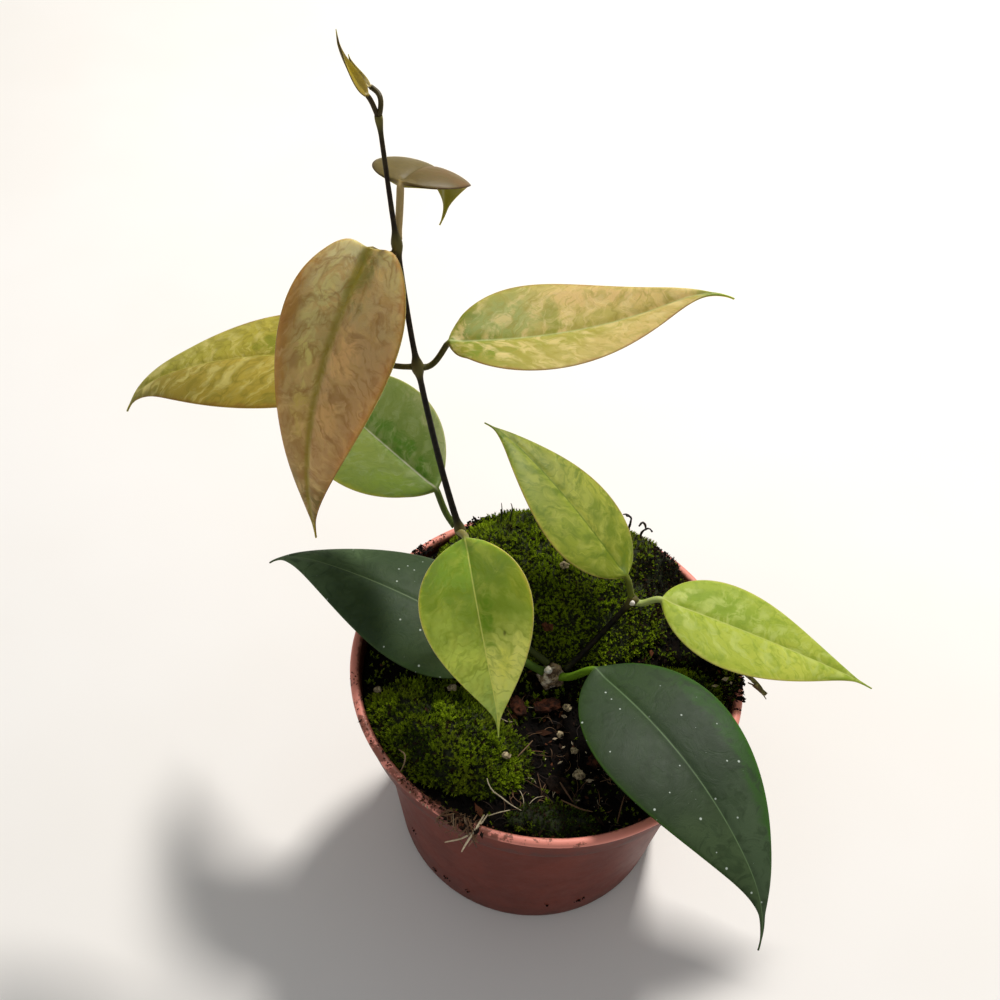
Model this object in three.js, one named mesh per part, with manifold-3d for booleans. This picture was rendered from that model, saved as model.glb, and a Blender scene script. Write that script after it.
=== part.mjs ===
// Potted hoya paziae: a young climbing plant with leathery pointed leaves, rooted in a
// small plastic nursery pot of dark bark soil that is partly grown over with moss.
// Millimetres, +Z up, the origin at the middle of the pot's underside.

import * as THREE from 'three';
import Module from 'manifold-3d';
import { mergeVertices } from 'three/addons/utils/BufferGeometryUtils.js';

const wasm = await Module();
wasm.setup();

// Pot sizes: an ordinary 12 cm nursery pot
const POT_HEIGHT = 86;
const RIM_RADIUS = 60;
const BASE_RADIUS = 45;
const WALL = 1.3;
const LIP_WIDTH = 2.8;
const LIP_HEIGHT = 2.2;
const COLLAR_HEIGHT = 13;
const COLLAR_STEP = 4.2;
const COLLAR_FLARE = 1.3;
const SHOULDER_RISE = 1.2;
const FOOT_LIFT = 1.6;
const BOSS_RADIUS = 9;
const DRAIN_RADIUS = 3.5;
const DRAIN_CIRCLE = 27;
const DRAIN_COUNT = 6;
const ROUND_STEPS = 48;

// Clearances between neighbouring pieces
const GAP = 0.35;
const MOSS_GAP = 0.5;

// Soil levels below the rim
const SOIL_BELOW_RIM = 8;
const SOIL_BACK_RISE = 4;
const SOIL_HOLLOW = 5;
const HOLLOW_X = 14;
const HOLLOW_Y = -30;
const HOLLOW_SPREAD = 20;

// Leaf build
const LEAF_SIDES = 8;
const LEAF_HALF_THICKNESS = 0.55;
const RIDGE_DEPTH = 0.95;
const GROOVE_HEIGHT = 0.3;
const TAIL_SHARE = 0.024;
const TAIL_LENGTH_SHARE = 0.12;
const OPENING_SHARE = 0.06;
const EDGE_HALF_THICKNESS = 0.25;
const TIP_RIDGE = 0.3;
const YOUNG_WIDTH = 24;
const HANDLE_SHARE = 0.35;
const HOOK_START = 0.72;
const STEPS_ALONG_BLADE = [
  0, 0.012, 0.035, 0.075, 0.13, 0.2, 0.28, 0.36, 0.45,
  0.54, 0.63, 0.71, 0.78, 0.845, 0.9, 0.945, 0.975, 1,
];
const SPINE_PARTS = 6;
const PETIOLE_STEPS = 5;

// Stem nodes, where the leaf pairs and branches spring
const CROWN = new THREE.Vector3(1.8, -2.2, 80.9);
const NODE_ONE = new THREE.Vector3(-28.8, 13, 130);
const NODE_TWO = new THREE.Vector3(-41.5, 21, 184);
const NODE_THREE = new THREE.Vector3(-46.8, 26, 218.2);
const NODE_FOUR = new THREE.Vector3(-50.9, 31, 248.3);
const SIDE_NODE = new THREE.Vector3(24.2, 13.5, 102);
const STEM_NODE_RADIUS = 1.7;
const YOUNG_NODE_RADIUS = 1.45;
const TOP_NODE_RADIUS = 1.0;
const CROWN_RADIUS = 4.2;
const STEM_RADIUS_LOW = 1.15;
const STEM_RADIUS_HIGH = 0.55;
const NODE_SPREAD = 2.4;
const SIDE_STEM_LOW = 1.0;
const SIDE_STEM_HIGH = 0.9;
const MAIN_START = new THREE.Vector3(-1.5, 2.4, 3.3);
const SIDE_START = new THREE.Vector3(3.9, 1.9, 0.9);

function material(color, roughness) {
  return new THREE.MeshStandardMaterial({ color, roughness, metalness: 0 });
}

function piece(name, geometry, color, roughness) {
  const mesh = new THREE.Mesh(geometry, material(color, roughness));
  mesh.name = name;
  return mesh;
}

// A closed body through rings of equal point counts; each ring turns right-handed
// about the direction of travel, and the two ends are closed with fans.
function loft(rings) {
  const sides = rings[0].length;
  const positions = [];
  const index = [];
  const first = rings[0];
  const last = rings[rings.length - 1];
  const push = (p) => positions.push(p.x, p.y, p.z);
  const middle = (ring) => ring.reduce((a, p) => a.add(p), new THREE.Vector3()).divideScalar(sides);
  push(middle(first));
  rings.forEach((ring) => ring.forEach(push));
  push(middle(last));
  const end = 1 + rings.length * sides;
  for (let k = 0; k < sides; k += 1) {
    const n = (k + 1) % sides;
    index.push(0, 1 + n, 1 + k);
    for (let i = 0; i + 1 < rings.length; i += 1) {
      const a = 1 + i * sides;
      const b = a + sides;
      index.push(a + k, a + n, b + n);
      index.push(a + k, b + n, b + k);
    }
    const c = end - sides;
    index.push(end, c + k, c + n);
  }
  const geometry = new THREE.BufferGeometry();
  geometry.setAttribute('position', new THREE.Float32BufferAttribute(positions, 3));
  geometry.setIndex(index);
  geometry.computeVertexNormals();
  return geometry;
}

// A round rod along a smooth curve through the points; each ring's radius is read from
// a function of the place and the share of the length
function rod(points, radiusAt, stops, sides) {
  const curve = new THREE.CatmullRomCurve3(points, false, 'centripetal');
  const chord = points[points.length - 1].clone().sub(points[0]).normalize();
  const size = [Math.abs(chord.x), Math.abs(chord.y), Math.abs(chord.z)];
  const axes = [new THREE.Vector3(1, 0, 0), new THREE.Vector3(0, 1, 0), new THREE.Vector3(0, 0, 1)];
  const across = axes[size.indexOf(Math.min(...size))];
  const rings = stops.map((share) => {
    const centre = curve.getPointAt(share);
    const forward = curve.getTangentAt(share);
    const left = across.clone().addScaledVector(forward, -across.dot(forward)).normalize();
    const up = forward.clone().cross(left);
    const radius = radiusAt(centre, share);
    const ring = [];
    for (let k = 0; k < sides; k += 1) {
      const angle = (k / sides) * Math.PI * 2;
      const point = centre.clone().addScaledVector(left, Math.cos(angle) * radius);
      ring.push(point.addScaledVector(up, Math.sin(angle) * radius));
    }
    return ring;
  });
  return loft(rings);
}

function evenly(steps) {
  return Array.from({ length: steps + 1 }, (unused, i) => i / steps);
}

function toManifold(geometry) {
  const plain = geometry.clone();
  plain.deleteAttribute('normal');
  plain.deleteAttribute('uv');
  const merged = mergeVertices(plain, 1e-4);
  const source = merged.index.array;
  const triangles = [];
  for (let i = 0; i < source.length; i += 3) {
    const [a, b, c] = [source[i], source[i + 1], source[i + 2]];
    if (a !== b && b !== c && c !== a) {
      triangles.push(a, b, c);
    }
  }
  return new wasm.Manifold(new wasm.Mesh({
    numProp: 3,
    vertProperties: new Float32Array(merged.attributes.position.array),
    triVerts: new Uint32Array(triangles),
  }));
}

function fromManifold(solid) {
  const mesh = solid.getMesh();
  const geometry = new THREE.BufferGeometry();
  geometry.setAttribute('position', new THREE.Float32BufferAttribute(mesh.vertProperties, 3));
  geometry.setIndex(Array.from(mesh.triVerts));
  geometry.computeVertexNormals();
  return geometry;
}

// The pot: a thin tapered wall, a shoulder where it steps out to a flaring collar, a rolled
// lip, a foot ring, a flat boss in the middle and a lifted floor with drain holes in between
const COLLAR_Z = POT_HEIGHT - COLLAR_HEIGHT;
const FLOOR_TOP = FOOT_LIFT + WALL;
const COLLAR_TOP_RADIUS = RIM_RADIUS - 1.3;
const COLLAR_RADIUS = COLLAR_TOP_RADIUS - COLLAR_FLARE;
const WALL_AT_COLLAR = COLLAR_RADIUS - COLLAR_STEP;
const LIP_Z = POT_HEIGHT - LIP_HEIGHT;
const LIP_INNER = RIM_RADIUS - LIP_WIDTH;
const INNER_WALL = [
  [BASE_RADIUS - WALL + 0.2, FLOOR_TOP],
  [WALL_AT_COLLAR - WALL, COLLAR_Z],
  [COLLAR_RADIUS - WALL, COLLAR_Z + SHOULDER_RISE],
  [LIP_INNER - 0.2, LIP_Z],
  [LIP_INNER, POT_HEIGHT - 0.9],
];

function innerRadius(z) {
  for (let i = 1; i < INNER_WALL.length; i += 1) {
    const [r0, z0] = INNER_WALL[i - 1];
    const [r1, z1] = INNER_WALL[i];
    if (z <= z1) {
      return THREE.MathUtils.lerp(r0, r1, (z - z0) / (z1 - z0));
    }
  }
  return LIP_INNER;
}

function potGeometry() {
  const outline = [
    [0, 0],
    [BOSS_RADIUS, 0],
    [BOSS_RADIUS + 1, FOOT_LIFT],
    [BASE_RADIUS - 6, FOOT_LIFT],
    [BASE_RADIUS - 5, 0],
    [BASE_RADIUS - 1, 0],
    [BASE_RADIUS + 0.2, 1.4],
    [WALL_AT_COLLAR, COLLAR_Z - 0.2 - SHOULDER_RISE],
    [COLLAR_RADIUS, COLLAR_Z - 0.2],
    [COLLAR_TOP_RADIUS, LIP_Z - 0.2],
    [RIM_RADIUS - 0.6, LIP_Z],
    [RIM_RADIUS, LIP_Z + 0.6],
    [RIM_RADIUS, POT_HEIGHT - 1.0],
    [RIM_RADIUS - 0.8, POT_HEIGHT - 0.2],
    [RIM_RADIUS - LIP_WIDTH / 2, POT_HEIGHT],
    [LIP_INNER + 0.6, POT_HEIGHT - 0.2],
    ...INNER_WALL.slice().reverse(),
    [0, FLOOR_TOP],
  ];
  const profile = outline.map(([r, z]) => new THREE.Vector2(r, z));
  const body = new THREE.LatheGeometry(profile, ROUND_STEPS).rotateX(Math.PI / 2);
  let solid = toManifold(body);
  for (let i = 0; i < DRAIN_COUNT; i += 1) {
    const angle = (i / DRAIN_COUNT) * Math.PI * 2 + 0.3;
    const drill = new THREE.CylinderGeometry(DRAIN_RADIUS, DRAIN_RADIUS, 8, 14);
    drill.rotateX(Math.PI / 2);
    drill.translate(Math.cos(angle) * DRAIN_CIRCLE, Math.sin(angle) * DRAIN_CIRCLE, FOOT_LIFT);
    solid = solid.subtract(toManifold(drill));
  }
  return fromManifold(solid);
}

// The soil surface: lowest in a hollow at the front right, rising towards the back
function soilHeight(x, y) {
  const back = THREE.MathUtils.smoothstep(y, -10, 40);
  const away = (x - HOLLOW_X) ** 2 + (y - HOLLOW_Y) ** 2;
  const hollow = Math.exp(-away / (2 * HOLLOW_SPREAD ** 2));
  return POT_HEIGHT - SOIL_BELOW_RIM + SOIL_BACK_RISE * back - SOIL_HOLLOW * hollow;
}

// The soil fills the pot from the floor up, a hair clear of the wall and shoulder all round
function soilGeometry() {
  const positions = [];
  const index = [];
  const steps = ROUND_STEPS;
  const wallLevels = [FLOOR_TOP, COLLAR_Z, COLLAR_Z + SHOULDER_RISE];
  const topShares = [1, 0.84, 0.66, 0.45, 0.22];
  const rows = [];
  const addRow = (radiusAt, heightAt) => {
    const row = [];
    for (let k = 0; k < steps; k += 1) {
      const angle = (k / steps) * Math.PI * 2;
      const r = radiusAt(angle);
      const x = Math.cos(angle) * r;
      const y = Math.sin(angle) * r;
      row.push(positions.length / 3);
      positions.push(x, y, heightAt(x, y));
    }
    rows.push(row);
  };
  wallLevels.forEach((z) => addRow(() => innerRadius(z) - GAP, () => z + GAP));
  const edgeRadius = (angle) => {
    const guess = RIM_RADIUS - LIP_WIDTH - 0.5;
    const z = soilHeight(Math.cos(angle) * guess, Math.sin(angle) * guess);
    return innerRadius(z) - GAP;
  };
  topShares.forEach((share) => addRow((angle) => edgeRadius(angle) * share, soilHeight));
  const bottom = positions.length / 3;
  positions.push(0, 0, FLOOR_TOP + GAP);
  const top = bottom + 1;
  positions.push(0, 0, soilHeight(0, 0));
  for (let k = 0; k < steps; k += 1) {
    const n = (k + 1) % steps;
    index.push(bottom, rows[0][n], rows[0][k]);
    for (let i = 0; i + 1 < rows.length; i += 1) {
      index.push(rows[i][k], rows[i][n], rows[i + 1][n]);
      index.push(rows[i][k], rows[i + 1][n], rows[i + 1][k]);
    }
    const last = rows[rows.length - 1];
    index.push(top, last[k], last[n]);
  }
  const geometry = new THREE.BufferGeometry();
  geometry.setAttribute('position', new THREE.Float32BufferAttribute(positions, 3));
  geometry.setIndex(index);
  geometry.computeVertexNormals();
  return geometry;
}

// A moss cushion: its underside follows the soil, its top swells and is a little lumpy.
// Where it meets the wall it climbs to the rim and bulges over the lip.
const CUSHION_STEPS = 28;
const CUSHION_SHARES = [1, 0.95, 0.85, 0.66, 0.36];
const CUSHION_EDGE = 0.8;
const OVER_RIM = 0.9;
const CONTACT_REACH = 6;
const LUMP_HEIGHT = 0.5;
const WALL_KEEP = LIP_INNER - 1.7;
const BULGE_KEEP = RIM_RADIUS - 1.6;

function cushionSpot(spec, k, share, bulging) {
  const angle = (k / CUSHION_STEPS) * Math.PI * 2;
  const wave = 1 + 0.05 * Math.sin(3 * angle + spec.phase) + 0.04 * Math.sin(5 * angle - spec.phase);
  const u = Math.cos(angle) * spec.reachX * wave;
  const v = Math.sin(angle) * spec.reachY * wave;
  const px = spec.x + u * Math.cos(spec.turn) - v * Math.sin(spec.turn);
  const py = spec.y + u * Math.sin(spec.turn) + v * Math.cos(spec.turn);
  const far = Math.hypot(px, py);
  const contact = spec.over ? THREE.MathUtils.smoothstep(far, WALL_KEEP, WALL_KEEP + CONTACT_REACH) : 0;
  const bulge = bulging ? THREE.MathUtils.smoothstep(contact, 0.97, 1) : 0;
  const keep = THREE.MathUtils.lerp(WALL_KEEP, BULGE_KEEP, bulge);
  const trim = far > keep ? keep / far : 1;
  return {
    x: THREE.MathUtils.lerp(spec.x, px * trim, share),
    y: THREE.MathUtils.lerp(spec.y, py * trim, share),
    contact,
  };
}

function cushion(spec) {
  const low = (p) => soilHeight(p.x, p.y) + MOSS_GAP;
  const lump = (p) => LUMP_HEIGHT * Math.sin(p.x * 0.55 + spec.phase) * Math.cos(p.y * 0.5 - spec.phase);
  const edge = (p) => THREE.MathUtils.lerp(CUSHION_EDGE, POT_HEIGHT + OVER_RIM - low(p), p.contact);
  const swollen = (p, share) => {
    const power = THREE.MathUtils.lerp(2.4, 7, p.contact);
    return low(p) + edge(p) + (spec.swell - edge(p) + lump(p)) * (1 - share ** power);
  };
  const ring = (share, bulging, height) => {
    const points = [];
    for (let k = 0; k < CUSHION_STEPS; k += 1) {
      const p = cushionSpot(spec, k, share, bulging);
      points.push(new THREE.Vector3(p.x, p.y, height(p, share)));
    }
    return points;
  };
  const rings = [];
  CUSHION_SHARES.slice().reverse().forEach((share) => rings.push(ring(share, false, low)));
  rings.push(ring(1, false, (p) => low(p) + edge(p) - 0.15));
  CUSHION_SHARES.forEach((share, i) => {
    rings.push(ring(i === 0 ? 0.995 : share, true, (p) => swollen(p, share) + (i === 0 ? 0.1 : 0)));
  });
  return loft(rings);
}

// Leaf shape
function halfWidth(s, leaf) {
  const t = THREE.MathUtils.clamp(s / (1 - leaf.tail), 0, 1);
  const peak = leaf.blunt / (leaf.blunt + leaf.point);
  const top = peak ** leaf.blunt * (1 - peak) ** leaf.point;
  const blade = (leaf.width / 2) * (t ** leaf.blunt * (1 - t) ** leaf.point) / top;
  const taper = THREE.MathUtils.clamp((1 - s) / TAIL_LENGTH_SHARE, 0.25, 1);
  const tail = TAIL_SHARE * leaf.width * taper;
  return Math.hypot(blade, tail);
}

function bearing(s, leaf) {
  const t = THREE.MathUtils.clamp((s - HOOK_START) / (1 - HOOK_START), 0, 1) ** 2;
  const bend = s ** leaf.late;
  const pitch = THREE.MathUtils.degToRad(leaf.rise - leaf.droop * bend - leaf.hook * t);
  const heading = THREE.MathUtils.degToRad(leaf.heading + leaf.turn * bend + leaf.side * t);
  const forward = new THREE.Vector3(
    Math.cos(pitch) * Math.cos(heading),
    Math.cos(pitch) * Math.sin(heading),
    Math.sin(pitch),
  );
  const level = new THREE.Vector3(-Math.sin(heading), Math.cos(heading), 0);
  const above = forward.clone().cross(level);
  const roll = THREE.MathUtils.degToRad(leaf.roll + leaf.twist * s);
  const left = level.clone().multiplyScalar(Math.cos(roll)).addScaledVector(above, Math.sin(roll));
  const up = above.clone().multiplyScalar(Math.cos(roll)).addScaledVector(level, -Math.sin(roll));
  return { forward, left, up };
}

// One leaf is one grown body: a round petiole from the stem node that opens into the
// blade, with a groove along the top, a ridge along the underside and a drawn-out tip
function leafGeometry(leaf) {
  const base = new THREE.Vector3(...leaf.base);
  const rings = [];
  const start = bearing(0, leaf);
  const outward = new THREE.Vector3(...(leaf.lead ?? base.clone().sub(leaf.from))).normalize();
  const arrival = new THREE.Vector3(...(leaf.arrive ?? start.forward.toArray())).normalize();
  const spring = leaf.from.clone().addScaledVector(outward, leaf.clear + GAP);
  const reach = base.distanceTo(spring);
  const path = new THREE.CubicBezierCurve3(
    spring,
    spring.clone().addScaledVector(outward, reach * HANDLE_SHARE).add(new THREE.Vector3(0, 0, leaf.sag)),
    base.clone().addScaledVector(arrival, -reach * HANDLE_SHARE),
    base,
  );
  const thin = leaf.stalk;
  const slight = THREE.MathUtils.clamp(leaf.width / YOUNG_WIDTH, 0.4, 1);
  for (let i = 0; i < PETIOLE_STEPS; i += 1) {
    const share = i / PETIOLE_STEPS;
    const centre = path.getPoint(share);
    const forward = path.getTangent(share);
    const left = start.left.clone().addScaledVector(forward, -start.left.dot(forward)).normalize();
    const up = forward.clone().cross(left);
    const ring = [];
    for (let k = 0; k < LEAF_SIDES; k += 1) {
      const angle = (k / LEAF_SIDES) * Math.PI * 2;
      const point = centre.clone();
      point.addScaledVector(left, Math.cos(angle) * thin);
      point.addScaledVector(up, Math.sin(angle) * thin);
      ring.push(point);
    }
    rings.push(ring);
  }
  const centre = base.clone();
  let before = 0;
  STEPS_ALONG_BLADE.forEach((s) => {
    const step = (s - before) / SPINE_PARTS;
    for (let i = 0; i < SPINE_PARTS; i += 1) {
      const forward = bearing(before + step * (i + 0.5), leaf).forward;
      centre.addScaledVector(forward, step * leaf.length);
    }
    before = s;
    const { left, up } = bearing(s, leaf);
    const opened = THREE.MathUtils.smoothstep(s, 0, OPENING_SHARE);
    const half = Math.max(halfWidth(s, leaf), thin * (1 - opened));
    const fold = Math.sin(THREE.MathUtils.degToRad(leaf.fold));
    const spread = Math.cos(THREE.MathUtils.degToRad(leaf.fold));
    const narrow = THREE.MathUtils.smoothstep(s, 0.8, 1);
    const ring = [];
    for (let k = 0; k < LEAF_SIDES; k += 1) {
      const angle = (k / LEAF_SIDES) * Math.PI * 2;
      const q = Math.cos(angle);
      const top = Math.sin(angle) > 0;
      const onRib = Math.abs(q) < 0.01;
      const ribTop = THREE.MathUtils.lerp(GROOVE_HEIGHT, EDGE_HALF_THICKNESS, narrow) * slight;
      const ribBelow = THREE.MathUtils.lerp(RIDGE_DEPTH, TIP_RIDGE, narrow) * slight;
      const sheet = THREE.MathUtils.lerp(LEAF_HALF_THICKNESS, EDGE_HALF_THICKNESS, narrow) * slight;
      let thick = Math.abs(q) > 0.99 ? 0 : sheet;
      if (onRib) {
        thick = top ? ribTop : ribBelow;
      }
      const flat = half * (Math.abs(q) * fold - leaf.cup * q * q) + (top ? thick : -thick);
      const round = Math.sin(angle) * thin;
      const height = THREE.MathUtils.lerp(round, flat, opened);
      const point = centre.clone();
      point.addScaledVector(left, q * half * THREE.MathUtils.lerp(1, spread, opened));
      point.addScaledVector(up, height);
      ring.push(point);
    }
    rings.push(ring);
  });
  return loft(rings);
}

const MATURE = { from: CROWN, clear: CROWN_RADIUS, stalk: 1.2 };
const LEAVES = [
  {
    name: 'leaf_front_dark', color: 0x3d5a34,
    ...MATURE, sag: -1.5,
    base: [13.6, -8, 95], length: 94.5, width: 41.6,
    lead: [1, -0.25, -0.15],
    heading: -51, rise: 15, droop: 62, late: 1.54, turn: -12.5, roll: -1, twist: 3.5,
    fold: 7.5, cup: 0.11, hook: -2, side: -44, tail: 0.09, blunt: 0.68, point: 1.19,
  },
  {
    name: 'leaf_left_dark', color: 0x36502f,
    ...MATURE, sag: -1,
    base: [-12.4, -1, 91.1], length: 86.5, width: 41,
    heading: 158, rise: 15, droop: 35, late: 1.41, turn: 1, roll: 1, twist: 2,
    fold: 2, cup: 0.2, hook: 33, side: 11.5, tail: 0.05, blunt: 0.59, point: 1.32,
  },
  {
    name: 'leaf_front_light', color: 0x8fa838,
    from: NODE_ONE, clear: STEM_NODE_RADIUS, stalk: 1.05, sag: 0.4,
    base: [-26.9, 8.5, 131.7], length: 60.5, width: 33.4,
    lead: [0.2, -1, 0.15],
    heading: 286, rise: -31, droop: 36, late: 1.25, turn: 12.5, roll: 21, twist: 2.5,
    fold: 14, cup: 0.07, hook: 10, side: -16, tail: 0.09, blunt: 0.69, point: 1.2,
  },
  {
    name: 'leaf_back_green', color: 0x5f8a3c,
    from: NODE_ONE, clear: STEM_NODE_RADIUS + 0.8, stalk: 0.95, sag: 0,
    base: [-36.2, 19.3, 139.3], length: 82, width: 38,
    lead: [-0.8, 0.5, 0.35], arrive: [-0.4, 0.3, 0.85],
    heading: 135.5, rise: -2.5, droop: 16.5, late: 1.26, turn: -13.5, roll: -16, twist: -5,
    fold: 12, cup: 0.08, hook: 8, side: 0, tail: 0.05, blunt: 0.71, point: 1.16,
  },
  {
    name: 'leaf_olive', color: 0x8f8438,
    from: NODE_TWO, clear: STEM_NODE_RADIUS + 0.2, stalk: 0.75, sag: -0.6,
    base: [-50.3, 20.9, 184.2], length: 83, width: 35.5,
    heading: 169.5, rise: -3, droop: 38, late: 1.14, turn: 7, roll: -3, twist: -1.5,
    fold: 3.5, cup: 0.14, hook: 23, side: 36, tail: 0.03, blunt: 0.63, point: 1.16,
  },
  {
    name: 'leaf_gold', color: 0xb3a052,
    from: NODE_TWO, clear: STEM_NODE_RADIUS, stalk: 0.8, sag: -0.6,
    base: [-33.9, 23.3, 191], length: 74.8, width: 33.2,
    lead: [1, 0.2, -0.15], arrive: [0.5, 0.1, 0.85],
    heading: 9.5, rise: -1.5, droop: -32.5, late: 1.47, turn: 11.5, roll: 1, twist: 0,
    fold: 17, cup: 0.07, hook: 56, side: -24, tail: 0.07, blunt: 0.64, point: 1.26,
  },
  {
    name: 'leaf_bronze', color: 0x8a6a3a,
    from: NODE_THREE, clear: YOUNG_NODE_RADIUS + 0.2, stalk: 0.8, sag: 0,
    base: [-53, 24.2, 217.8], length: 87.4, width: 35.3,
    heading: 240, rise: -41.5, droop: 67, late: 1.3, turn: 9.5, roll: 2.5, twist: 7,
    fold: 5, cup: 0.17, hook: -15, side: -5, tail: 0.05, blunt: 0.48, point: 1.43,
  },
  {
    name: 'leaf_upper', color: 0x7d7346,
    from: NODE_THREE, clear: YOUNG_NODE_RADIUS + 0.4, stalk: 0.8, sag: 0,
    base: [-46.7, 34.2, 229.3], length: 38.8, width: 24.9,
    lead: [0.3, 0.85, 0.35], arrive: [0, 0.4, 0.9],
    heading: 67, rise: -1.7, droop: 121.5, late: 1.46, turn: -12, roll: -3.5, twist: 6,
    fold: 6.5, cup: 0.19, hook: 15, side: -2, tail: 0.1, blunt: 0.57, point: 1.32,
  },
  {
    name: 'leaf_side_up', color: 0x93a845,
    from: SIDE_NODE, clear: STEM_NODE_RADIUS + 0.3, stalk: 1, sag: 0,
    base: [21.2, 16.6, 109.4], length: 65, width: 29.3,
    heading: 135.5, rise: 26, droop: 21.5, late: 1.63, turn: 3.5, roll: 7.5, twist: -1.5,
    fold: 7.5, cup: 0.17, hook: 6, side: 12.5, tail: 0.04, blunt: 0.63, point: 1.21,
  },
  {
    name: 'leaf_side_right', color: 0x9cb348,
    from: SIDE_NODE, clear: STEM_NODE_RADIUS + 0.3, stalk: 1, sag: -0.6,
    base: [32.7, 12.8, 103.9], length: 72.8, width: 31.2,
    lead: [1, -0.2, -0.45],
    heading: -11, rise: -12, droop: 11.5, late: 1.2, turn: 3.5, roll: 0.5, twist: 3,
    fold: 7.5, cup: 0.15, hook: 8, side: 0, tail: 0.06, blunt: 0.66, point: 1.32,
  },
  {
    name: 'leaf_tip_long', color: 0x6f6414,
    from: NODE_FOUR, clear: TOP_NODE_RADIUS, stalk: 0.45, sag: 0,
    base: [-53.2, 31.3, 253.2], length: 16.3, width: 4,
    heading: 172, rise: 50, droop: -40, late: 1.2, turn: 22, roll: -17, twist: 27,
    fold: 14, cup: 0.04, hook: 8, side: 19, tail: 0.05, blunt: 0.58, point: 1.47,
  },
  {
    name: 'leaf_tip_small', color: 0x6a6420,
    from: NODE_FOUR, clear: TOP_NODE_RADIUS, stalk: 0.45, sag: 2.6,
    base: [-53, 34.9, 253.3], length: 8.6, width: 2.4,
    lead: [0.5, 0.2, 1],
    heading: 174, rise: 30, droop: -45, late: 0.7, turn: 0, roll: -17, twist: 10,
    fold: 14, cup: 0.04, hook: 0, side: 0, tail: 0.05, blunt: 0.6, point: 1.3,
  },
];

const root = new THREE.Group();
root.name = 'potted_hoya_paziae';
const pot = new THREE.Group();
pot.name = 'pot_and_soil';
const plant = new THREE.Group();
plant.name = 'plant';
root.add(pot, plant);

pot.add(piece('pot', potGeometry(), 0x7a3a2c, 0.55));
const soil = piece('soil', soilGeometry(), 0x1c120c, 0.95);
pot.add(soil);

// Moss: a mound along the back, one at the right wall, a cushion at the front left and
// a low strip behind the front lip
const CUSHIONS = [
  {
    name: 'moss_back', x: 5, y: 33.5, reachX: 41, reachY: 29.5,
    turn: 0, swell: 11.5, phase: 0.4, over: true,
  },
  {
    name: 'moss_right', x: 38, y: -10, reachX: 18, reachY: 14,
    turn: 0.1, swell: 6.5, phase: 2.1, over: true,
  },
  {
    name: 'moss_left', x: -29, y: -25, reachX: 26, reachY: 16,
    turn: -0.42, swell: 7.5, phase: 1.2, over: false,
  },
  {
    name: 'moss_front', x: 4, y: -48, reachX: 13, reachY: 5,
    turn: 0, swell: 4, phase: 3.1, over: false,
  },
];
const beds = [soil];
CUSHIONS.forEach((spec) => {
  const mesh = piece(spec.name, cushion(spec), 0x3f5614, 0.95);
  pot.add(mesh);
  beds.push(mesh);
});

// The place at a given clearance over whatever lies under a point of the plan
const SKY = new THREE.Raycaster();
const SKY_HEIGHT = POT_HEIGHT + 40;

function settle(x, y, clearance) {
  SKY.set(new THREE.Vector3(x, y, SKY_HEIGHT), new THREE.Vector3(0, 0, -1));
  const hit = SKY.intersectObjects(beds, false)[0];
  return hit.point.clone().addScaledVector(hit.face.normal, clearance);
}

// The crown: the woody knob at the foot of the plant, with a pale rounded bud on it
function knob(radii, phase, detail) {
  const ball = new THREE.IcosahedronGeometry(1, detail);
  ball.deleteAttribute('normal');
  ball.deleteAttribute('uv');
  const geometry = mergeVertices(ball, 1e-4);
  const place = geometry.attributes.position;
  for (let i = 0; i < place.count; i += 1) {
    const [x, y, z] = [place.getX(i), place.getY(i), place.getZ(i)];
    const bump = 1 + 0.09 * Math.sin(4 * x + phase) * Math.cos(3 * y - phase) - 0.05 * Math.sin(5 * z);
    place.setXYZ(i, x * radii[0] * bump, y * radii[1] * bump, z * radii[2] * bump);
  }
  geometry.computeVertexNormals();
  return geometry;
}

const crown = piece('crown', knob([3.9, 3.5, 3.7], 0.8, 2), 0x8a7a58, 0.8);
crown.position.copy(CROWN);
plant.add(crown);
const crownBud = piece('crown_bud', knob([1.15, 1.15, 1.3], 2.2, 1), 0xe9e2d2, 0.6);
crownBud.position.set(CROWN.x - 1.4, CROWN.y - 1.2, CROWN.z + 5.2);
plant.add(crownBud);
const sideBud = piece('side_bud', knob([0.8, 0.8, 0.95], 1.1, 1), 0xd8d2b8, 0.6);
sideBud.position.set(SIDE_NODE.x - 0.3, SIDE_NODE.y - 2.5, SIDE_NODE.z + 1.6);
plant.add(sideBud);

// The stems: thin, round, nearly black-brown, thicker at each node
function stemRadius(low, high, nodes) {
  return (point, share) => {
    let radius = THREE.MathUtils.lerp(low, high, share);
    nodes.forEach(([node, size]) => {
      const near = Math.exp(-((point.distanceTo(node) / NODE_SPREAD) ** 2));
      radius = Math.max(radius, THREE.MathUtils.lerp(radius, size, near));
    });
    return radius;
  };
}

const mainNodes = [
  [NODE_ONE, STEM_NODE_RADIUS],
  [NODE_TWO, STEM_NODE_RADIUS],
  [NODE_THREE, YOUNG_NODE_RADIUS],
  [NODE_FOUR, TOP_NODE_RADIUS],
];
const mainPath = [
  CROWN.clone().add(MAIN_START),
  new THREE.Vector3(-8.5, 3.4, 90),
  new THREE.Vector3(-18, 7.6, 104),
  NODE_ONE,
  NODE_TWO,
  NODE_THREE,
  NODE_FOUR.clone().add(new THREE.Vector3(-0.05, 0.07, 0.45)),
];
const mainRadius = stemRadius(STEM_RADIUS_LOW, STEM_RADIUS_HIGH, mainNodes);
plant.add(piece('vine_main', rod(mainPath, mainRadius, evenly(66), 7), 0x2a2014, 0.5));

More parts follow.
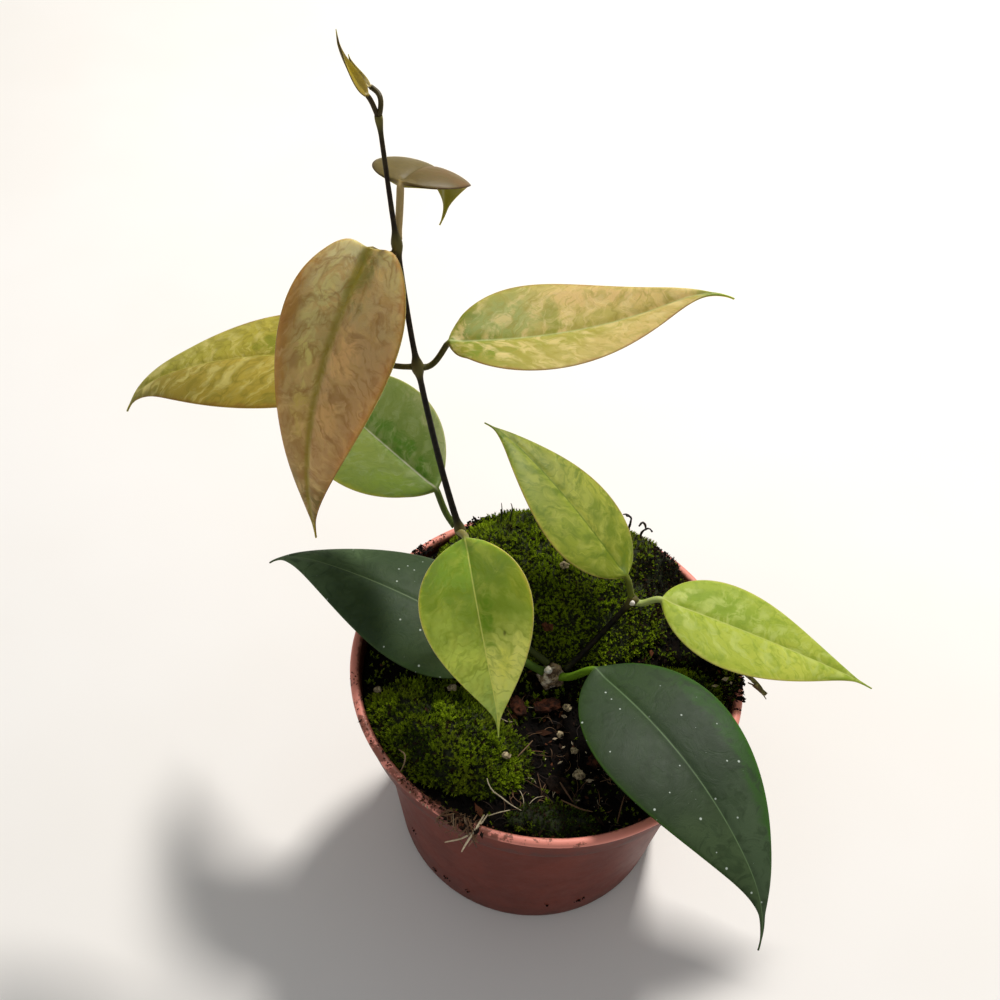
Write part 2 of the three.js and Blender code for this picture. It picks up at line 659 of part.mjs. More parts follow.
const sidePath = [
  CROWN.clone().add(SIDE_START),
  new THREE.Vector3(13.6, 7, 86.8),
  SIDE_NODE.clone().add(new THREE.Vector3(0.8, 0.5, 0.8)),
];
const sideRadius = stemRadius(SIDE_STEM_LOW, SIDE_STEM_HIGH, [[SIDE_NODE, STEM_NODE_RADIUS]]);
plant.add(piece('vine_side', rod(sidePath, sideRadius, evenly(16), 7), 0x2c2415, 0.5));

LEAVES.forEach((leaf) => plant.add(piece(leaf.name, leafGeometry(leaf), leaf.color, 0.42)));

// Bark chips of the potting mix
function chipGeometry(length, width, thickness, phase) {
  const rings = [-0.5, -0.22, 0.2, 0.5].map((share, i) => {
    const full = i === 0 || i === 3 ? 0.6 : 1;
    const ring = [];
    for (let k = 0; k < 6; k += 1) {
      const angle = (k / 6) * Math.PI * 2 + 0.3 * Math.sin(phase + i);
      const rough = full * (1 + 0.16 * Math.sin(phase * 3 + k * 2.3 + i));
      const y = (Math.cos(angle) * width * rough) / 2;
      const z = (Math.sin(angle) * thickness * rough) / 2;
      ring.push(new THREE.Vector3(share * length, y, z));
    }
    return ring;
  });
  return loft(rings);
}

const CHIPS = [
  { x: 0.8, y: -10.5, length: 8, width: 5, thickness: 2.6, turn: 0.3 },
  { x: -8, y: -12, length: 6.5, width: 4, thickness: 2.2, turn: 2.1 },
  { x: 17, y: -25, length: 9, width: 5, thickness: 2.6, turn: 1.1 },
  { x: 5, y: -36, length: 7, width: 4.5, thickness: 2.2, turn: 2.6 },
  { x: 26, y: -37, length: 8, width: 4.5, thickness: 2.4, turn: 0.7 },
  { x: -44, y: 12, length: 8, width: 5, thickness: 2.4, turn: 1.8 },
];
CHIPS.forEach((chip, i) => {
  const geometry = chipGeometry(chip.length, chip.width, chip.thickness, i + 1);
  const mesh = piece(`bark_${i + 1}`, geometry, 0x3f2418, 0.9);
  mesh.position.copy(settle(chip.x, chip.y, chip.thickness / 2 + 0.9));
  mesh.rotation.z = chip.turn;
  pot.add(mesh);
});

// Perlite and grit grains
const GRAINS = [
  { x: 7, y: -10, size: 1.3 },
  { x: 5, y: -19, size: 1.1 },
  { x: 11, y: -32, size: 1.7 },
  { x: 9.5, y: -24, size: 1.2 },
  { x: 3.8, y: 31, size: 1.4 },
  { x: -28.5, y: -11, size: 1.3 },
  { x: -50, y: -12, size: 1.2 },
  { x: -11.5, y: -31, size: 1.2 },
];
GRAINS.forEach((grain, i) => {
  const radii = [grain.size, grain.size * 0.85, grain.size * 0.8];
  const mesh = piece(`perlite_${i + 1}`, knob(radii, i * 1.3, 1), 0xc9c0a8, 0.85);
  mesh.position.copy(settle(grain.x, grain.y, grain.size + GAP));
  pot.add(mesh);
});

// Loose root threads lying on the soil and the moss
function thread(name, spots, radius, color) {
  const points = spots.map(([x, y]) => settle(x, y, radius + 0.6));
  const radiusAt = (point, share) => radius * (1 - 0.45 * share);
  pot.add(piece(name, rod(points, radiusAt, evenly(9), 5), color, 0.8));
}

thread('root_1', [[-14.5, -35], [-12.5, -39], [-9.5, -42]], 0.4, 0xb9ad8e);
thread('root_2', [[19, -38], [22, -41], [24, -45]], 0.4, 0x8d7a5c);
thread('root_3', [[1.5, -20], [0, -24], [0.8, -28.5]], 0.45, 0x7c6a50);
thread('root_4', [[12, -14], [15, -17], [16, -21]], 0.4, 0x9a8a6a);

// Roots and a twig that hang over the lip, a hair clear of the plastic
const OVER_LIP = POT_HEIGHT + 1.3;
const RIM_PIECES = [
  {
    name: 'rim_root_1', color: 0x8a6a48, radius: 0.55,
    points: [
      [-16.6, -51.5, 85.6],
      [-18.3, -56.6, OVER_LIP],
      [-19.4, -59, OVER_LIP - 0.1],
      [-20.8, -60.2, 82.5],
      [-21.8, -60.4, 76.5],
    ],
  },
  {
    name: 'rim_root_2', color: 0x9a7c58, radius: 0.5,
    points: [
      [-20.5, -50.5, 85],
      [-21.6, -54.6, OVER_LIP],
      [-23, -57.4, OVER_LIP],
      [-25.6, -57.8, 83.6],
      [-27.4, -57.4, 80.5],
    ],
  },
  {
    name: 'rim_root_3', color: 0x5a3c24, radius: 0.75,
    points: [
      [-13.6, -53.4, 85.4],
      [-15, -57, OVER_LIP + 0.3],
      [-16.2, -60, OVER_LIP],
      [-17.4, -61.8, 83],
      [-17.8, -61.9, 79.6],
    ],
  },
  {
    name: 'rim_twig', color: 0x5f5a2c, radius: 0.95,
    points: [
      [53, 5.2, 87.2],
      [58.2, 1.6, 87.5],
      [62.8, -2.8, 87.3],
      [66.2, -6.6, 86.2],
    ],
  },
];
RIM_PIECES.forEach(({ name, color, radius, points }) => {
  const path = points.map((p) => new THREE.Vector3(...p));
  pot.add(piece(name, rod(path, (point, share) => radius * (1 - 0.4 * share), evenly(12), 6), color, 0.8));
});

// Two curled fibres standing out of the moss at the back, and two moss stalks
const STANDING = [
  {
    name: 'fibre_1', color: 0x2a1e14, radius: 0.45, foot: [24.5, 49],
    rest: [[0.3, 0.4, 3], [0.1, 0.4, 6], [-1.6, 0.2, 7]],
  },
  {
    name: 'fibre_2', color: 0x2a1e14, radius: 0.45, foot: [28.5, 47.5],
    rest: [[0.8, 0.3, 2.6], [2.4, 0.2, 4], [3.6, 0, 2.6]],
  },
  {
    name: 'moss_stalk_1', color: 0x3c4a16, radius: 0.35, foot: [-17, 49],
    rest: [[0, 0.2, 3], [-0.2, 0.4, 6]],
  },
  {
    name: 'moss_stalk_2', color: 0x3c4a16, radius: 0.35, foot: [-14, 49],
    rest: [[0.1, 0.2, 3], [0.4, 0.4, 6]],
  },
];
STANDING.forEach(({ name, color, radius, foot, rest }) => {
  const ground = settle(foot[0], foot[1], GAP + 0.3);
  const path = [ground, ...rest.map((p) => ground.clone().add(new THREE.Vector3(...p)))];
  pot.add(piece(name, rod(path, (point, share) => radius * (1 - 0.4 * share), evenly(9), 5), color, 0.85));
});

export default root;
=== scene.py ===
# A young climbing plant with leathery long-pointed leaves on a thin dark stem, rooted in a
# small plastic nursery pot of dark bark soil that is partly grown over with moss.
import bpy
import math
import random
import numpy as np
from mathutils import Matrix, Vector, noise


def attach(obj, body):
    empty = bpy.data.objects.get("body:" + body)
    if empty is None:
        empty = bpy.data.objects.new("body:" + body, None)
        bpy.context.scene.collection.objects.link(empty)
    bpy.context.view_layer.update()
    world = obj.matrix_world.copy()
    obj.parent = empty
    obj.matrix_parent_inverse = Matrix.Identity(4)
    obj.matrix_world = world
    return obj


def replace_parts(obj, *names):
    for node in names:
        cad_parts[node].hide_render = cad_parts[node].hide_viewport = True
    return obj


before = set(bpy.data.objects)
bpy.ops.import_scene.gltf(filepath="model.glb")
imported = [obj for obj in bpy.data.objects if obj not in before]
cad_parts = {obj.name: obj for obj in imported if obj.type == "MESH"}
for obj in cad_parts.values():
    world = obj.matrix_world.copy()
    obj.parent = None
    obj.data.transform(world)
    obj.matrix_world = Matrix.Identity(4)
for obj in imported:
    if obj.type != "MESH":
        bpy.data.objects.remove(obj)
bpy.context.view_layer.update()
bpy.ops.object.select_all(action="DESELECT")


# The pot

# A thin nursery pot, injection-moulded in one piece of terracotta-brown plastic: a tapered
# wall on a foot ring, a shoulder that steps out to the collar, a thin rolled lip, and a
# lifted floor with six drain holes around a flat boss.
mm = 0.001


def merge_and_turn_out():
    """Merges the doubled points of the active piece and turns its faces outward."""
    bpy.ops.object.mode_set(mode="EDIT")
    bpy.ops.mesh.select_all(action="SELECT")
    bpy.ops.mesh.remove_doubles(threshold=1e-7)
    bpy.ops.mesh.normals_make_consistent(inside=False)
    bpy.ops.object.mode_set(mode="OBJECT")


# Radius and height of the moulding's outline: from the boss under the floor out to the foot
# ring, up the wall and its collar, over the lip and down the inside to the floor's middle.
pot_profile = [
    (9, 0), (9.6, 0.3), (10, 1.6), (24, 1.6), (39, 1.6), (40, 0.3), (40.6, 0), (43.6, 0),
    (44.5, 0.2), (45, 0.7), (45.25, 1.5), (45.5, 3), (46.65, 13.5), (48, 25.8), (49.35, 38.1),
    (50.7, 50.4), (52.05, 62.7), (52.95, 70.9), (53.15, 71.5), (53.6, 71.85), (56.4, 72.5),
    (57, 72.75), (57.3, 73.1), (57.45, 73.6), (57.9, 77), (58.35, 80.4), (58.7, 83.2),
    (58.85, 83.6), (59.3, 83.75), (59.75, 84.05), (59.98, 84.5), (59.95, 85.1), (59.6, 85.6),
    (59.1, 85.9), (58.5, 85.98), (57.95, 85.8), (57.5, 85.45), (57.25, 84.9), (57.08, 83.4),
    (56.8, 80), (56.3, 76), (56.05, 74.6), (55.6, 74.1), (52.7, 73.3), (52.1, 72.9),
    (51.75, 72.1), (50.9, 64), (48.1, 40), (45.3, 15), (44.2, 4.4), (43.8, 3.3), (43, 2.9),
    (24, 2.9), (3, 2.9),
]
bpy.ops.mesh.primitive_circle_add(vertices=144, radius=pot_profile[0][0] * mm, fill_type="NOTHING")
pot = bpy.context.object
pot.name = "pot_shell"
bpy.ops.object.mode_set(mode="EDIT")
bpy.ops.mesh.select_all(action="SELECT")
bpy.ops.mesh.edge_face_add()
bpy.ops.mesh.select_all(action="SELECT")
bpy.ops.mesh.select_mode(type="EDGE")
bpy.ops.mesh.region_to_loop()
for (radius, height), (next_radius, next_height) in zip(pot_profile, pot_profile[1:]):
    grow = next_radius / radius
    bpy.ops.mesh.extrude_edges_move(
        TRANSFORM_OT_translate={"value": (0, 0, (next_height - height) * mm)})
    bpy.ops.transform.resize(value=(grow, grow, 1), center_override=(0, 0, 0))
bpy.ops.mesh.edge_face_add()
merge_and_turn_out()
drains, drain_ring, drain_radius, drill_depth, floor_under = 6, 27, 3.5, 8, 1.6
for hole in range(drains):
    turn = hole / drains * 2 * math.pi + 0.3
    bpy.ops.mesh.primitive_cylinder_add(
        vertices=24, radius=drain_radius * mm, depth=drill_depth * mm,
        location=(drain_ring * mm * math.cos(turn), drain_ring * mm * math.sin(turn),
                  floor_under * mm))
    drill = bpy.context.object
    cut = pot.modifiers.new("drain", "BOOLEAN")
    cut.object = drill
    cut.operation = "DIFFERENCE"
    cut.solver = "EXACT"
    bpy.ops.object.select_all(action="DESELECT")
    pot.select_set(True)
    bpy.context.view_layer.objects.active = pot
    bpy.ops.object.modifier_apply(modifier="drain")
    bpy.data.objects.remove(drill)
bpy.ops.object.shade_smooth_by_angle(angle=math.radians(35))


def paint(red, green, blue):
    """A colour as the eye reads it on a 0 to 255 card, turned into the shader's light values."""
    return tuple((c / 255 / 12.92) if c < 10.5 else ((c / 255 + 0.055) / 1.055) ** 2.4
                 for c in (red, green, blue)) + (1.0,)


def new_finish(name):
    """Starts a finish; the shader helpers add their nodes to the newest one."""
    global tree, shader
    finish = bpy.data.materials.new(name)
    finish.use_nodes = True
    tree, shader = finish.node_tree, finish.node_tree.nodes["Principled BSDF"]
    return finish


def feed(node, sockets):
    """Sets a node's sockets; one that is given another node's output is linked to it."""
    for key, value in sockets.items():
        if isinstance(value, bpy.types.NodeSocket):
            tree.links.new(value, node.inputs[key])
        else:
            node.inputs[key].default_value = value


def put(kind, settings, sockets):
    """Adds one shader node and gives back its outputs."""
    node = tree.nodes.new("ShaderNode" + kind)
    for key, value in settings.items():
        setattr(node, key, value)
    feed(node, sockets)
    return node.outputs


def object_place():
    return put("TexCoord", {}, {})["Object"]


def carried(name, output="Fac"):
    """The value that the mesh carries under this name."""
    return put("Attribute", {"attribute_name": name}, {})[output]


def axes(place):
    return put("SeparateXYZ", {}, {0: place})


def blend(share, one, other):
    """Mixes two colours, each an output or a card's three values, by a share."""
    one, other = (paint(*c) if isinstance(c, tuple) else c for c in (one, other))
    settings = {"data_type": "RGBA", "blend_type": "MIX", "clamp_factor": True}
    return put("Mix", settings, {0: share, 6: one, 7: other})[2]


def band(value, low, high):
    """0 below low, 1 above high and smooth between; low may be the larger one."""
    return put("MapRange", {"interpolation_type": "SMOOTHSTEP"},
               {"Value": value, "From Min": low, "From Max": high})[0]


def spread_out(value, least, most, low=0.0, high=1.0):
    """Runs in a straight line from least at low to most at high."""
    return put("MapRange", {}, {"Value": value, "From Min": low, "From Max": high,
                                "To Min": least, "To Max": most})[0]


def sums(operation, *values):
    return put("Math", {"operation": operation}, dict(enumerate(values)))[0]


def times(one, other):
    return sums("MULTIPLY", one, other)


def vectors(operation, *values):
    output = "Value" if operation in ("LENGTH", "DISTANCE") else "Vector"
    return put("VectorMath", {"operation": operation}, dict(enumerate(values)))[output]


def grain(place, scale, detail=4.0, rough=0.6, twirl=0.0):
    return put("TexNoise", {}, {"Vector": place, "Scale": scale, "Detail": detail,
                                "Roughness": rough, "Distortion": twirl})[0]


def bump(strength, depth, relief):
    return put("Bump", {}, {"Strength": strength, "Distance": depth, "Height": relief})[0]


pot_finish = new_finish("pot_plastic_worn_with_painted_light")
here = object_place()
height = axes(here)[2]
cloudy = grain(here, 60.0)
smudge = grain(here, 210.0, 6.0, 0.7)
plastic = blend(band(cloudy, 0.35, 0.65), (100, 34, 15), (112, 41, 21))
soiled = times(band(smudge, 0.6, 0.72), 0.55)
plastic = blend(soiled, plastic, (76, 38, 26))
low_dirt = times(band(height, 0.012, 0.0), band(smudge, 0.45, 0.6))
plastic = blend(times(low_dirt, 0.6), plastic, (70, 44, 34))
# the top of the rolled lip lighter: partly worn plastic, partly a painted highlight where the key
# light falls on the lip
lip_wear_and_highlight = band(height, 0.0838, 0.0846)
front_left = vectors("DISTANCE", here, (-0.036, -0.047, 0.086))
muddy = spread_out(front_left, 0.42, 0.61, 0.022, 0.05)
lip_mud = band(sums("SUBTRACT", smudge, muddy), 0.0, 0.07)
lip_mud = times(band(height, 0.083, 0.0845), lip_mud)
plastic = blend(times(lip_wear_and_highlight, 0.9), plastic, (240, 150, 132))
centre_off = vectors("LENGTH", vectors("MULTIPLY", here, (1, 1, 0)))
# the inner face of the lip and the upper inside wall darker: painted shade in the recess under the
# lip, partly soil stain
inner_shade_and_stain = sums("MULTIPLY_ADD", sums("SUBTRACT", smudge, 0.5), 0.003, centre_off)
inner_shade_and_stain = times(band(inner_shade_and_stain, 0.0581, 0.0573), band(height, 0.06, 0.08))
plastic = blend(times(inner_shade_and_stain, 0.75), plastic, (70, 32, 22))
plastic = blend(times(lip_mud, 0.8), plastic, (96, 54, 36))
feed(shader, {"Base Color": plastic, "Roughness": spread_out(smudge, 0.38, 0.62),
              "Specular IOR Level": 0.28, "Normal": bump(0.12, 0.0004, grain(here, 900.0, 3.0))})
pot.data.materials.append(pot_finish)
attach(pot, "root")
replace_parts(pot, "pot")


# The soil

# Dark, moist potting mix of composted bark that fills the pot to a finger below the rim,
# with a dip at the front right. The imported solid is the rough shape; its top is broken up
# into crumbs and small clods.
def rough_shape(name, node):
    """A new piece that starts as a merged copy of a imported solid, left in edit mode."""
    bpy.ops.object.select_all(action="DESELECT")
    piece = bpy.data.objects.new(name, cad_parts[node].data.copy())
    bpy.context.collection.objects.link(piece)
    piece.data.materials.clear()
    piece.select_set(True)
    bpy.context.view_layer.objects.active = piece
    if piece.data.has_custom_normals:
        bpy.ops.mesh.customdata_custom_splitnormals_clear()
    bpy.ops.object.mode_set(mode="EDIT")
    bpy.ops.mesh.select_mode(type="VERT")
    bpy.ops.mesh.select_all(action="SELECT")
    bpy.ops.mesh.remove_doubles(threshold=2e-6)
    bpy.ops.mesh.normals_make_consistent(inside=False)
    return piece


def soil_level(x, y):
    """Height of the soil's middle level over a point of the plan, all in millimetres."""
    back = min(max((y + 10) / 50, 0), 1)
    back = back * back * (3 - 2 * back)
    return 78 + 4 * back - 5 * math.exp(-((x - 14) ** 2 + (y + 30) ** 2) / 800)


soil_wall, top_above = 55.5, 70
soil = rough_shape("soil_bed", "soil")
bpy.ops.mesh.select_all(action="DESELECT")
bpy.ops.object.mode_set(mode="OBJECT")
for face in soil.data.polygons:
    face.select = face.normal.z > 0.5
bpy.ops.object.mode_set(mode="EDIT")
bpy.ops.mesh.select_mode(type="FACE")
bpy.ops.mesh.subdivide(number_cuts=3)
bpy.ops.mesh.subdivide(number_cuts=1)
bpy.ops.object.mode_set(mode="OBJECT")
for vertex in soil.data.vertices:
    x, y, z = vertex.co / mm
    if z > top_above and math.hypot(x, y) < soil_wall:
        clod = noise.fractal(Vector((x, y, 3)) / 5, 1, 2, 4)
        lump = noise.noise(Vector((x, y, 9)) / 12)
        vertex.co.z += (0.75 * clod + 0.6 * lump) * mm
bpy.ops.object.shade_smooth()
soil_finish = new_finish("soil_dark_bark")
here = object_place()
clods = grain(here, 420.0, 6.0, 0.7)
damp = grain(here, 90.0)
earth = blend(band(clods, 0.35, 0.7), (5, 4, 3), (19, 12, 8))
earth = blend(band(damp, 0.6, 0.75), earth, (11, 7, 5))
feed(shader, {"Base Color": earth, "Roughness": 0.95, "Specular IOR Level": 0.1,
              "Normal": bump(0.9, 0.0012, clods)})
soil.data.materials.append(soil_finish)
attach(soil, "root")
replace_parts(soil, "soil")


# The moss

# Four separate cushions of living moss on the soil: a high mound along the back that
# bulges over the rim, one at the right wall, one at the front left and a low strip behind
# the front lip. Each is a dense mat of short shoots that stand on a dark felted base.
moss_felt = new_finish("moss_felt")
here = object_place()
fibres = grain(here, 900.0, 5.0, 0.7)
patches = grain(here, 130.0)
felt = blend(band(fibres, 0.35, 0.65), (14, 16, 3), (42, 50, 7))
felt = blend(band(patches, 0.55, 0.68), felt, (26, 20, 8))
feed(shader, {"Base Color": felt, "Roughness": 0.95, "Normal": bump(1.0, 0.0010, fibres)})

moss_green = new_finish("moss_shoots")
here = object_place()
up_share, mood, dryness = axes(carried("shoot", "Vector"))
patches = grain(here, 95.0)
# each shoot darker at its foot and lighter towards its tip: painted shade down in the mat and
# painted light on the tips
low = blend(mood, (22, 28, 4), (62, 78, 6))
high = blend(mood, (56, 76, 6), (160, 184, 26))
high = blend(band(patches, 0.5, 0.66), high, (150, 164, 36))
green = blend(up_share, low, high)
green = blend(dryness, green, (52, 38, 18))
feed(shader, {"Base Color": green, "Roughness": 0.7, "Specular IOR Level": 0.15})

# One moss shoot in units of its own size: three whorls of three-sided leaflets.
sprig_height, leaflet_wide, leaflet_flat = 2.4, 0.34, 0.45
bpy.ops.object.select_all(action="DESELECT")
leaflets = []
for level, count, lean, length in ((0.3, 3, 60, 1.25), (1.0, 3, 44, 1.2), (1.7, 3, 20, 1.3)):
    for k in range(count):
        turn = (k / count + level * 0.37) * 2 * math.pi
        bpy.ops.mesh.primitive_cone_add(
            vertices=3, radius1=leaflet_wide, radius2=0, depth=length,
            location=(0, 0, length / 2))
        leaflet = bpy.context.object
        leaflet.data.transform(Matrix.Translation((0, 0, length / 2)))
        leaflet.data.transform(Matrix.Diagonal((1, leaflet_flat, 1, 1)))
        leaflet.data.transform(Matrix.Rotation(math.radians(lean), 4, "X"))
        leaflet.data.transform(Matrix.Rotation(turn, 4, "Z"))
        leaflet.data.transform(Matrix.Translation((0, 0, level)))
        leaflet.location = (0, 0, 0)
        leaflets.append(leaflet)
for leaflet in leaflets:
    leaflet.select_set(True)
bpy.ops.object.join()
sprig = bpy.context.object
sprig_points = np.array([v.co[:] for v in sprig.data.vertices])
sprig_faces = np.array([[sprig.data.loops[i].vertex_index for i in f.loop_indices]
                        for f in sprig.data.polygons if len(f.loop_indices) == 3])
bpy.data.objects.remove(sprig)


def keep_values(piece, title, values):
    """Keeps a number or a triple for each point of a piece, which its finish reads."""
    triple = len(values) == 3 * len(piece.data.vertices)
    kept = piece.data.attributes.new(title, "FLOAT_VECTOR" if triple else "FLOAT", "POINT")
    kept.data.foreach_set("vector" if triple else "value", values)


def loose_piece(name, points, faces, title, values, finish):
    """A new piece of many loose bits, from points in metres and their faces."""
    piece = bpy.data.objects.new(name, bpy.data.meshes.new(name))
    piece.data.from_pydata(points, [], faces)
    bpy.context.collection.objects.link(piece)
    keep_values(piece, title, values)
    piece.data.materials.append(finish)
    return piece


# The place where the back mound is worn brown, and the radius past which shoots stay short.
worn_x, worn_y, worn_spread, mound_edge = 41, 32, 230, 55


def plant_shoots(name, feet, reach, gloom, dice):
    """One piece of moss shoots on the given feet, each a point and the way up from it."""
    points, moods = [], []
    for foot, normal in feet:
        x, y, z = foot / mm
        bare = 0.9 * math.exp(-((x - worn_x) ** 2 + (y - worn_y) ** 2) / worn_spread)
        lush = noise.fractal(Vector((x, y, 40)) / 6.5, 1, 2, 3)
        size = reach * dice.uniform(0.5, 1.15) * (1 - 0.3 * bare) * (1 + 0.3 * lush) * mm
        if math.hypot(x, y) > mound_edge:
            size *= 0.8
        up = (normal + Vector((dice.gauss(0, 0.36), dice.gauss(0, 0.36), 0.3))).normalized()
        stand = up.to_track_quat("Z", "Y").to_matrix()
        stand = stand @ Matrix.Rotation(dice.uniform(0, 6.28), 3, "Z")
        points.append(sprig_points @ (np.array(stand).T * size) + np.array(foot - up * 0.5 * mm))
        dry = 1.0 if dice.random() < bare + 0.04 + 0.25 * max(gloom, 0) else 0.0
        mood = min(max(dice.gauss(0.5, 0.26) + 0.8 * lush - gloom, 0), 1)
        moods.append(np.column_stack([
            np.clip(sprig_points[:, 2] / sprig_height, 0, 1) ** 1.2,
            np.full(len(sprig_points), mood),
            np.full(len(sprig_points), dry)]))
    starts = np.arange(len(feet)) * len(sprig_points)
    faces = (sprig_faces[None] + starts[:, None, None]).reshape(-1, 3)
    tufts = loose_piece(name, np.concatenate(points).tolist(), faces.tolist(),
                        "shoot", np.concatenate(moods).ravel(), moss_green)
    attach(tufts, "root")


# For each cushion: how many shoots, their size, how dark they are and the seed.
cushions = {
    # the back and right cushions are set lighter: painted light that makes up for the shade the
    # leaves cast on them
    "moss_back": (7200, 0.82, -0.32, 101), "moss_right": (2100, 0.82, -0.3, 102),
    "moss_left": (3600, 0.85, 0.02, 103), "moss_front": (640, 0.62, 0.72, 104),
}
litter_spots, litter_every, worn_litter_every = [], 23, 4
worn_spot, worn_reach = Vector((41, 33, 88)), 13
back_right_x, back_right_y, inside_lip = 0.035, 0.02, 0.0552
split_at = 0.006
for node, (shoots, reach, gloom, seed) in cushions.items():
    mat = rough_shape(node + "_felt", node)
    bpy.ops.mesh.subdivide(number_cuts=2, smoothness=0.6)
    bpy.ops.object.mode_set(mode="OBJECT")
    for vertex in mat.data.vertices:
        if vertex.normal.z > 0.2:
            x, y, z = vertex.co / mm
            lump = noise.fractal(Vector((x, y, z)) / 7, 1, 2, 3)
            vertex.co.z += (1.3 * lump - 0.3) * mm
        if vertex.co.x > back_right_x and vertex.co.y > back_right_y:
            vertex.co.xy *= min(1, inside_lip / vertex.co.xy.length)
    bpy.ops.object.shade_smooth()
    mat.data.materials.append(moss_felt)
    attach(mat, "root")
    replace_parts(mat, node)
    dice = random.Random(seed)
    mat.data.calc_loop_triangles()
    tops = [facet for facet in mat.data.loop_triangles if facet.normal.z > -0.15]
    feet = []
    for facet in dice.choices(tops, weights=[facet.area for facet in tops], k=shoots):
        a, b, c = (mat.data.vertices[i].co for i in facet.vertices)
        u, v = dice.random(), dice.random()
        if u + v > 1:
            u, v = 1 - u, 1 - v
        feet.append((a + (b - a) * u + (c - a) * v, facet.normal.copy()))
    litter_spots += [foot / mm for foot, normal in feet[::litter_every]]
    litter_spots += [foot / mm for foot, normal in feet[::worn_litter_every]
                     if (foot / mm - worn_spot).length < worn_reach]
    if node == "moss_back":
        # the back mound's shoots are two pieces, each with fewer than 200,000 triangles
        left_feet = [f for f in feet if f[0].x < split_at]
        plant_shoots("moss_back_shoots_left", left_feet, reach, gloom, dice)
        feet = [f for f in feet if f[0].x >= split_at]
    plant_shoots(node + "_shoots", feet, reach, gloom, dice)

# Low moss that creeps over the soil between the cushions.
dice = random.Random(105)
creeping, creep_edge = 3000, 55.6


def somewhere_within(radius):
    turn, out = dice.uniform(0, 2 * math.pi), radius * math.sqrt(dice.random())
    return out * math.cos(turn), out * math.sin(turn)


feet = []
while len(feet) < creeping:
    x, y = somewhere_within(creep_edge)
    # hardly any moss in the hollow, and little at the front and at the back left
    hollow = math.hypot((x - 15) / 23, (y + 26) / 19)
    chance = 0.04 if hollow < 1 else 0.9
    if y < -34:
        chance = 0.3
    if y > 18 and x < -20:
        chance = 0.25
    if dice.random() < chance:
        z = soil_level(x, y) + 0.7 * noise.noise(Vector((x, y, 3)) / 5) + 0.3
        feet.append((Vector((x, y, z)) * mm, Vector((0, 0, 1))))
plant_shoots("creeping_moss_shoots", feet, 0.8, 0.2, dice)
# Moss on the lip, at the right and at the back: how many shoots, their bearing and its
# spread, the radii between which they stand and their height.
feet = []
for count, middle, spread, near, far, height in (
        (90, -3, 3.5, 54, 59, 87), (280, 105, 5.0, 55.5, 58.6, 88.9)):
    for i in range(count):
        degrees, out = dice.gauss(middle, spread), dice.uniform(near, far)
        fall = 2.2 * min(abs(degrees - middle) / (2 * spread), 1) + 1.6 * dice.random()
        turn = math.radians(degrees)
        feet.append((Vector((out * math.cos(turn), out * math.sin(turn), height - fall)) * mm,
                     Vector((0.3 * math.cos(turn), 0.3 * math.sin(turn), 1)).normalized()))
plant_shoots("rim_moss_shoots", feet, 0.9, 0.15, dice)


# The crown

# The woody knob at soil level that every shoot springs from, with old leaf scars, and two
# pale rounded buds: one on the crown and one at the side stem's node.
def uneven_shape(name, node, cuts, smooth, size, depth):
    """A rough shape with finer faces and lumps of a size and a depth in millimetres."""
    piece = rough_shape(name, node)
    bpy.ops.mesh.subdivide(number_cuts=cuts, smoothness=smooth)
    bpy.ops.object.mode_set(mode="OBJECT")
    for vertex in piece.data.vertices:
        lump = noise.fractal(vertex.co / (size * mm), 1, 2, 3)
        vertex.co += vertex.normal * (lump * depth * mm)
    bpy.ops.object.shade_smooth()
    return piece


crown_bark = new_finish("crown_bark")
here = object_place()
cork = grain(here, 500.0, 5.0, 0.65)
scar = grain(here, 220.0)
tint = blend(band(cork, 0.4, 0.62), (80, 58, 38), (168, 142, 108))
tint = blend(band(scar, 0.52, 0.64), tint, (226, 210, 186))
feed(shader, {"Base Color": tint, "Roughness": 0.8, "Normal": bump(0.8, 0.0006, cork)})
bud_skin = new_finish("bud_skin")
here = object_place()
mottle = grain(here, 700.0, 3.0)
tint = blend(band(mottle, 0.4, 0.65), (226, 212, 190), (246, 240, 228))
feed(shader, {"Base Color": tint, "Roughness": 0.45, "Normal": bump(0.3, 0.0002, mottle)})
for node, finish, slot, size, depth in (
        ("crown", crown_bark, "wood", 2.6, 1.15), ("crown_bud", bud_skin, "bud", 1.0, 0.12),
        ("side_bud", bud_skin, "bud", 1.0, 0.1)):
    knob = uneven_shape(node + "_knob", node, 3, 1.0, size, depth)
    knob.data.materials.append(finish)
    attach(knob, "root")
    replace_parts(knob, node)


# The stems

# Two thin wiry shoots with nearly black-brown bark, thicker at each node: the long one
# climbs to the left and ends in the young pair of leaves, the short one leans right.
stem_bark = new_finish("stem_bark")
here = object_place()
rind = grain(here, 600.0, 4.0)
tops = axes(here)[2]
old = blend(band(rind, 0.4, 0.62), (13, 9, 5), (32, 24, 13))
young = blend(band(rind, 0.4, 0.62), (30, 19, 9), (52, 42, 17))
tint = blend(band(tops, 0.17, 0.215), old, young)
swell = carried("swelling")
tint = blend(times(swell, 0.8), tint, (124, 116, 58))
foot = vectors("DISTANCE", here, (-0.006, 0.002, 0.088))
tint = blend(band(foot, 0.016, 0.008), tint, (66, 74, 30))
feed(shader, {"Base Color": tint, "Roughness": 0.55, "Specular IOR Level": 0.16,
              "Normal": bump(0.5, 0.0003, rind)})

crown_at = Vector((1.8, -2.2, 80.9))
nodes_on_stem = {
    "one": (Vector((-28.8, 13, 130)), 1.7), "two": (Vector((-41.5, 21, 184)), 1.7),
    "three": (Vector((-46.8, 26, 218.2)), 1.45), "four": (Vector((-50.9, 31, 248.3)), 0.95),
    "side": (Vector((24.2, 13.5, 102)), 1.7),
}


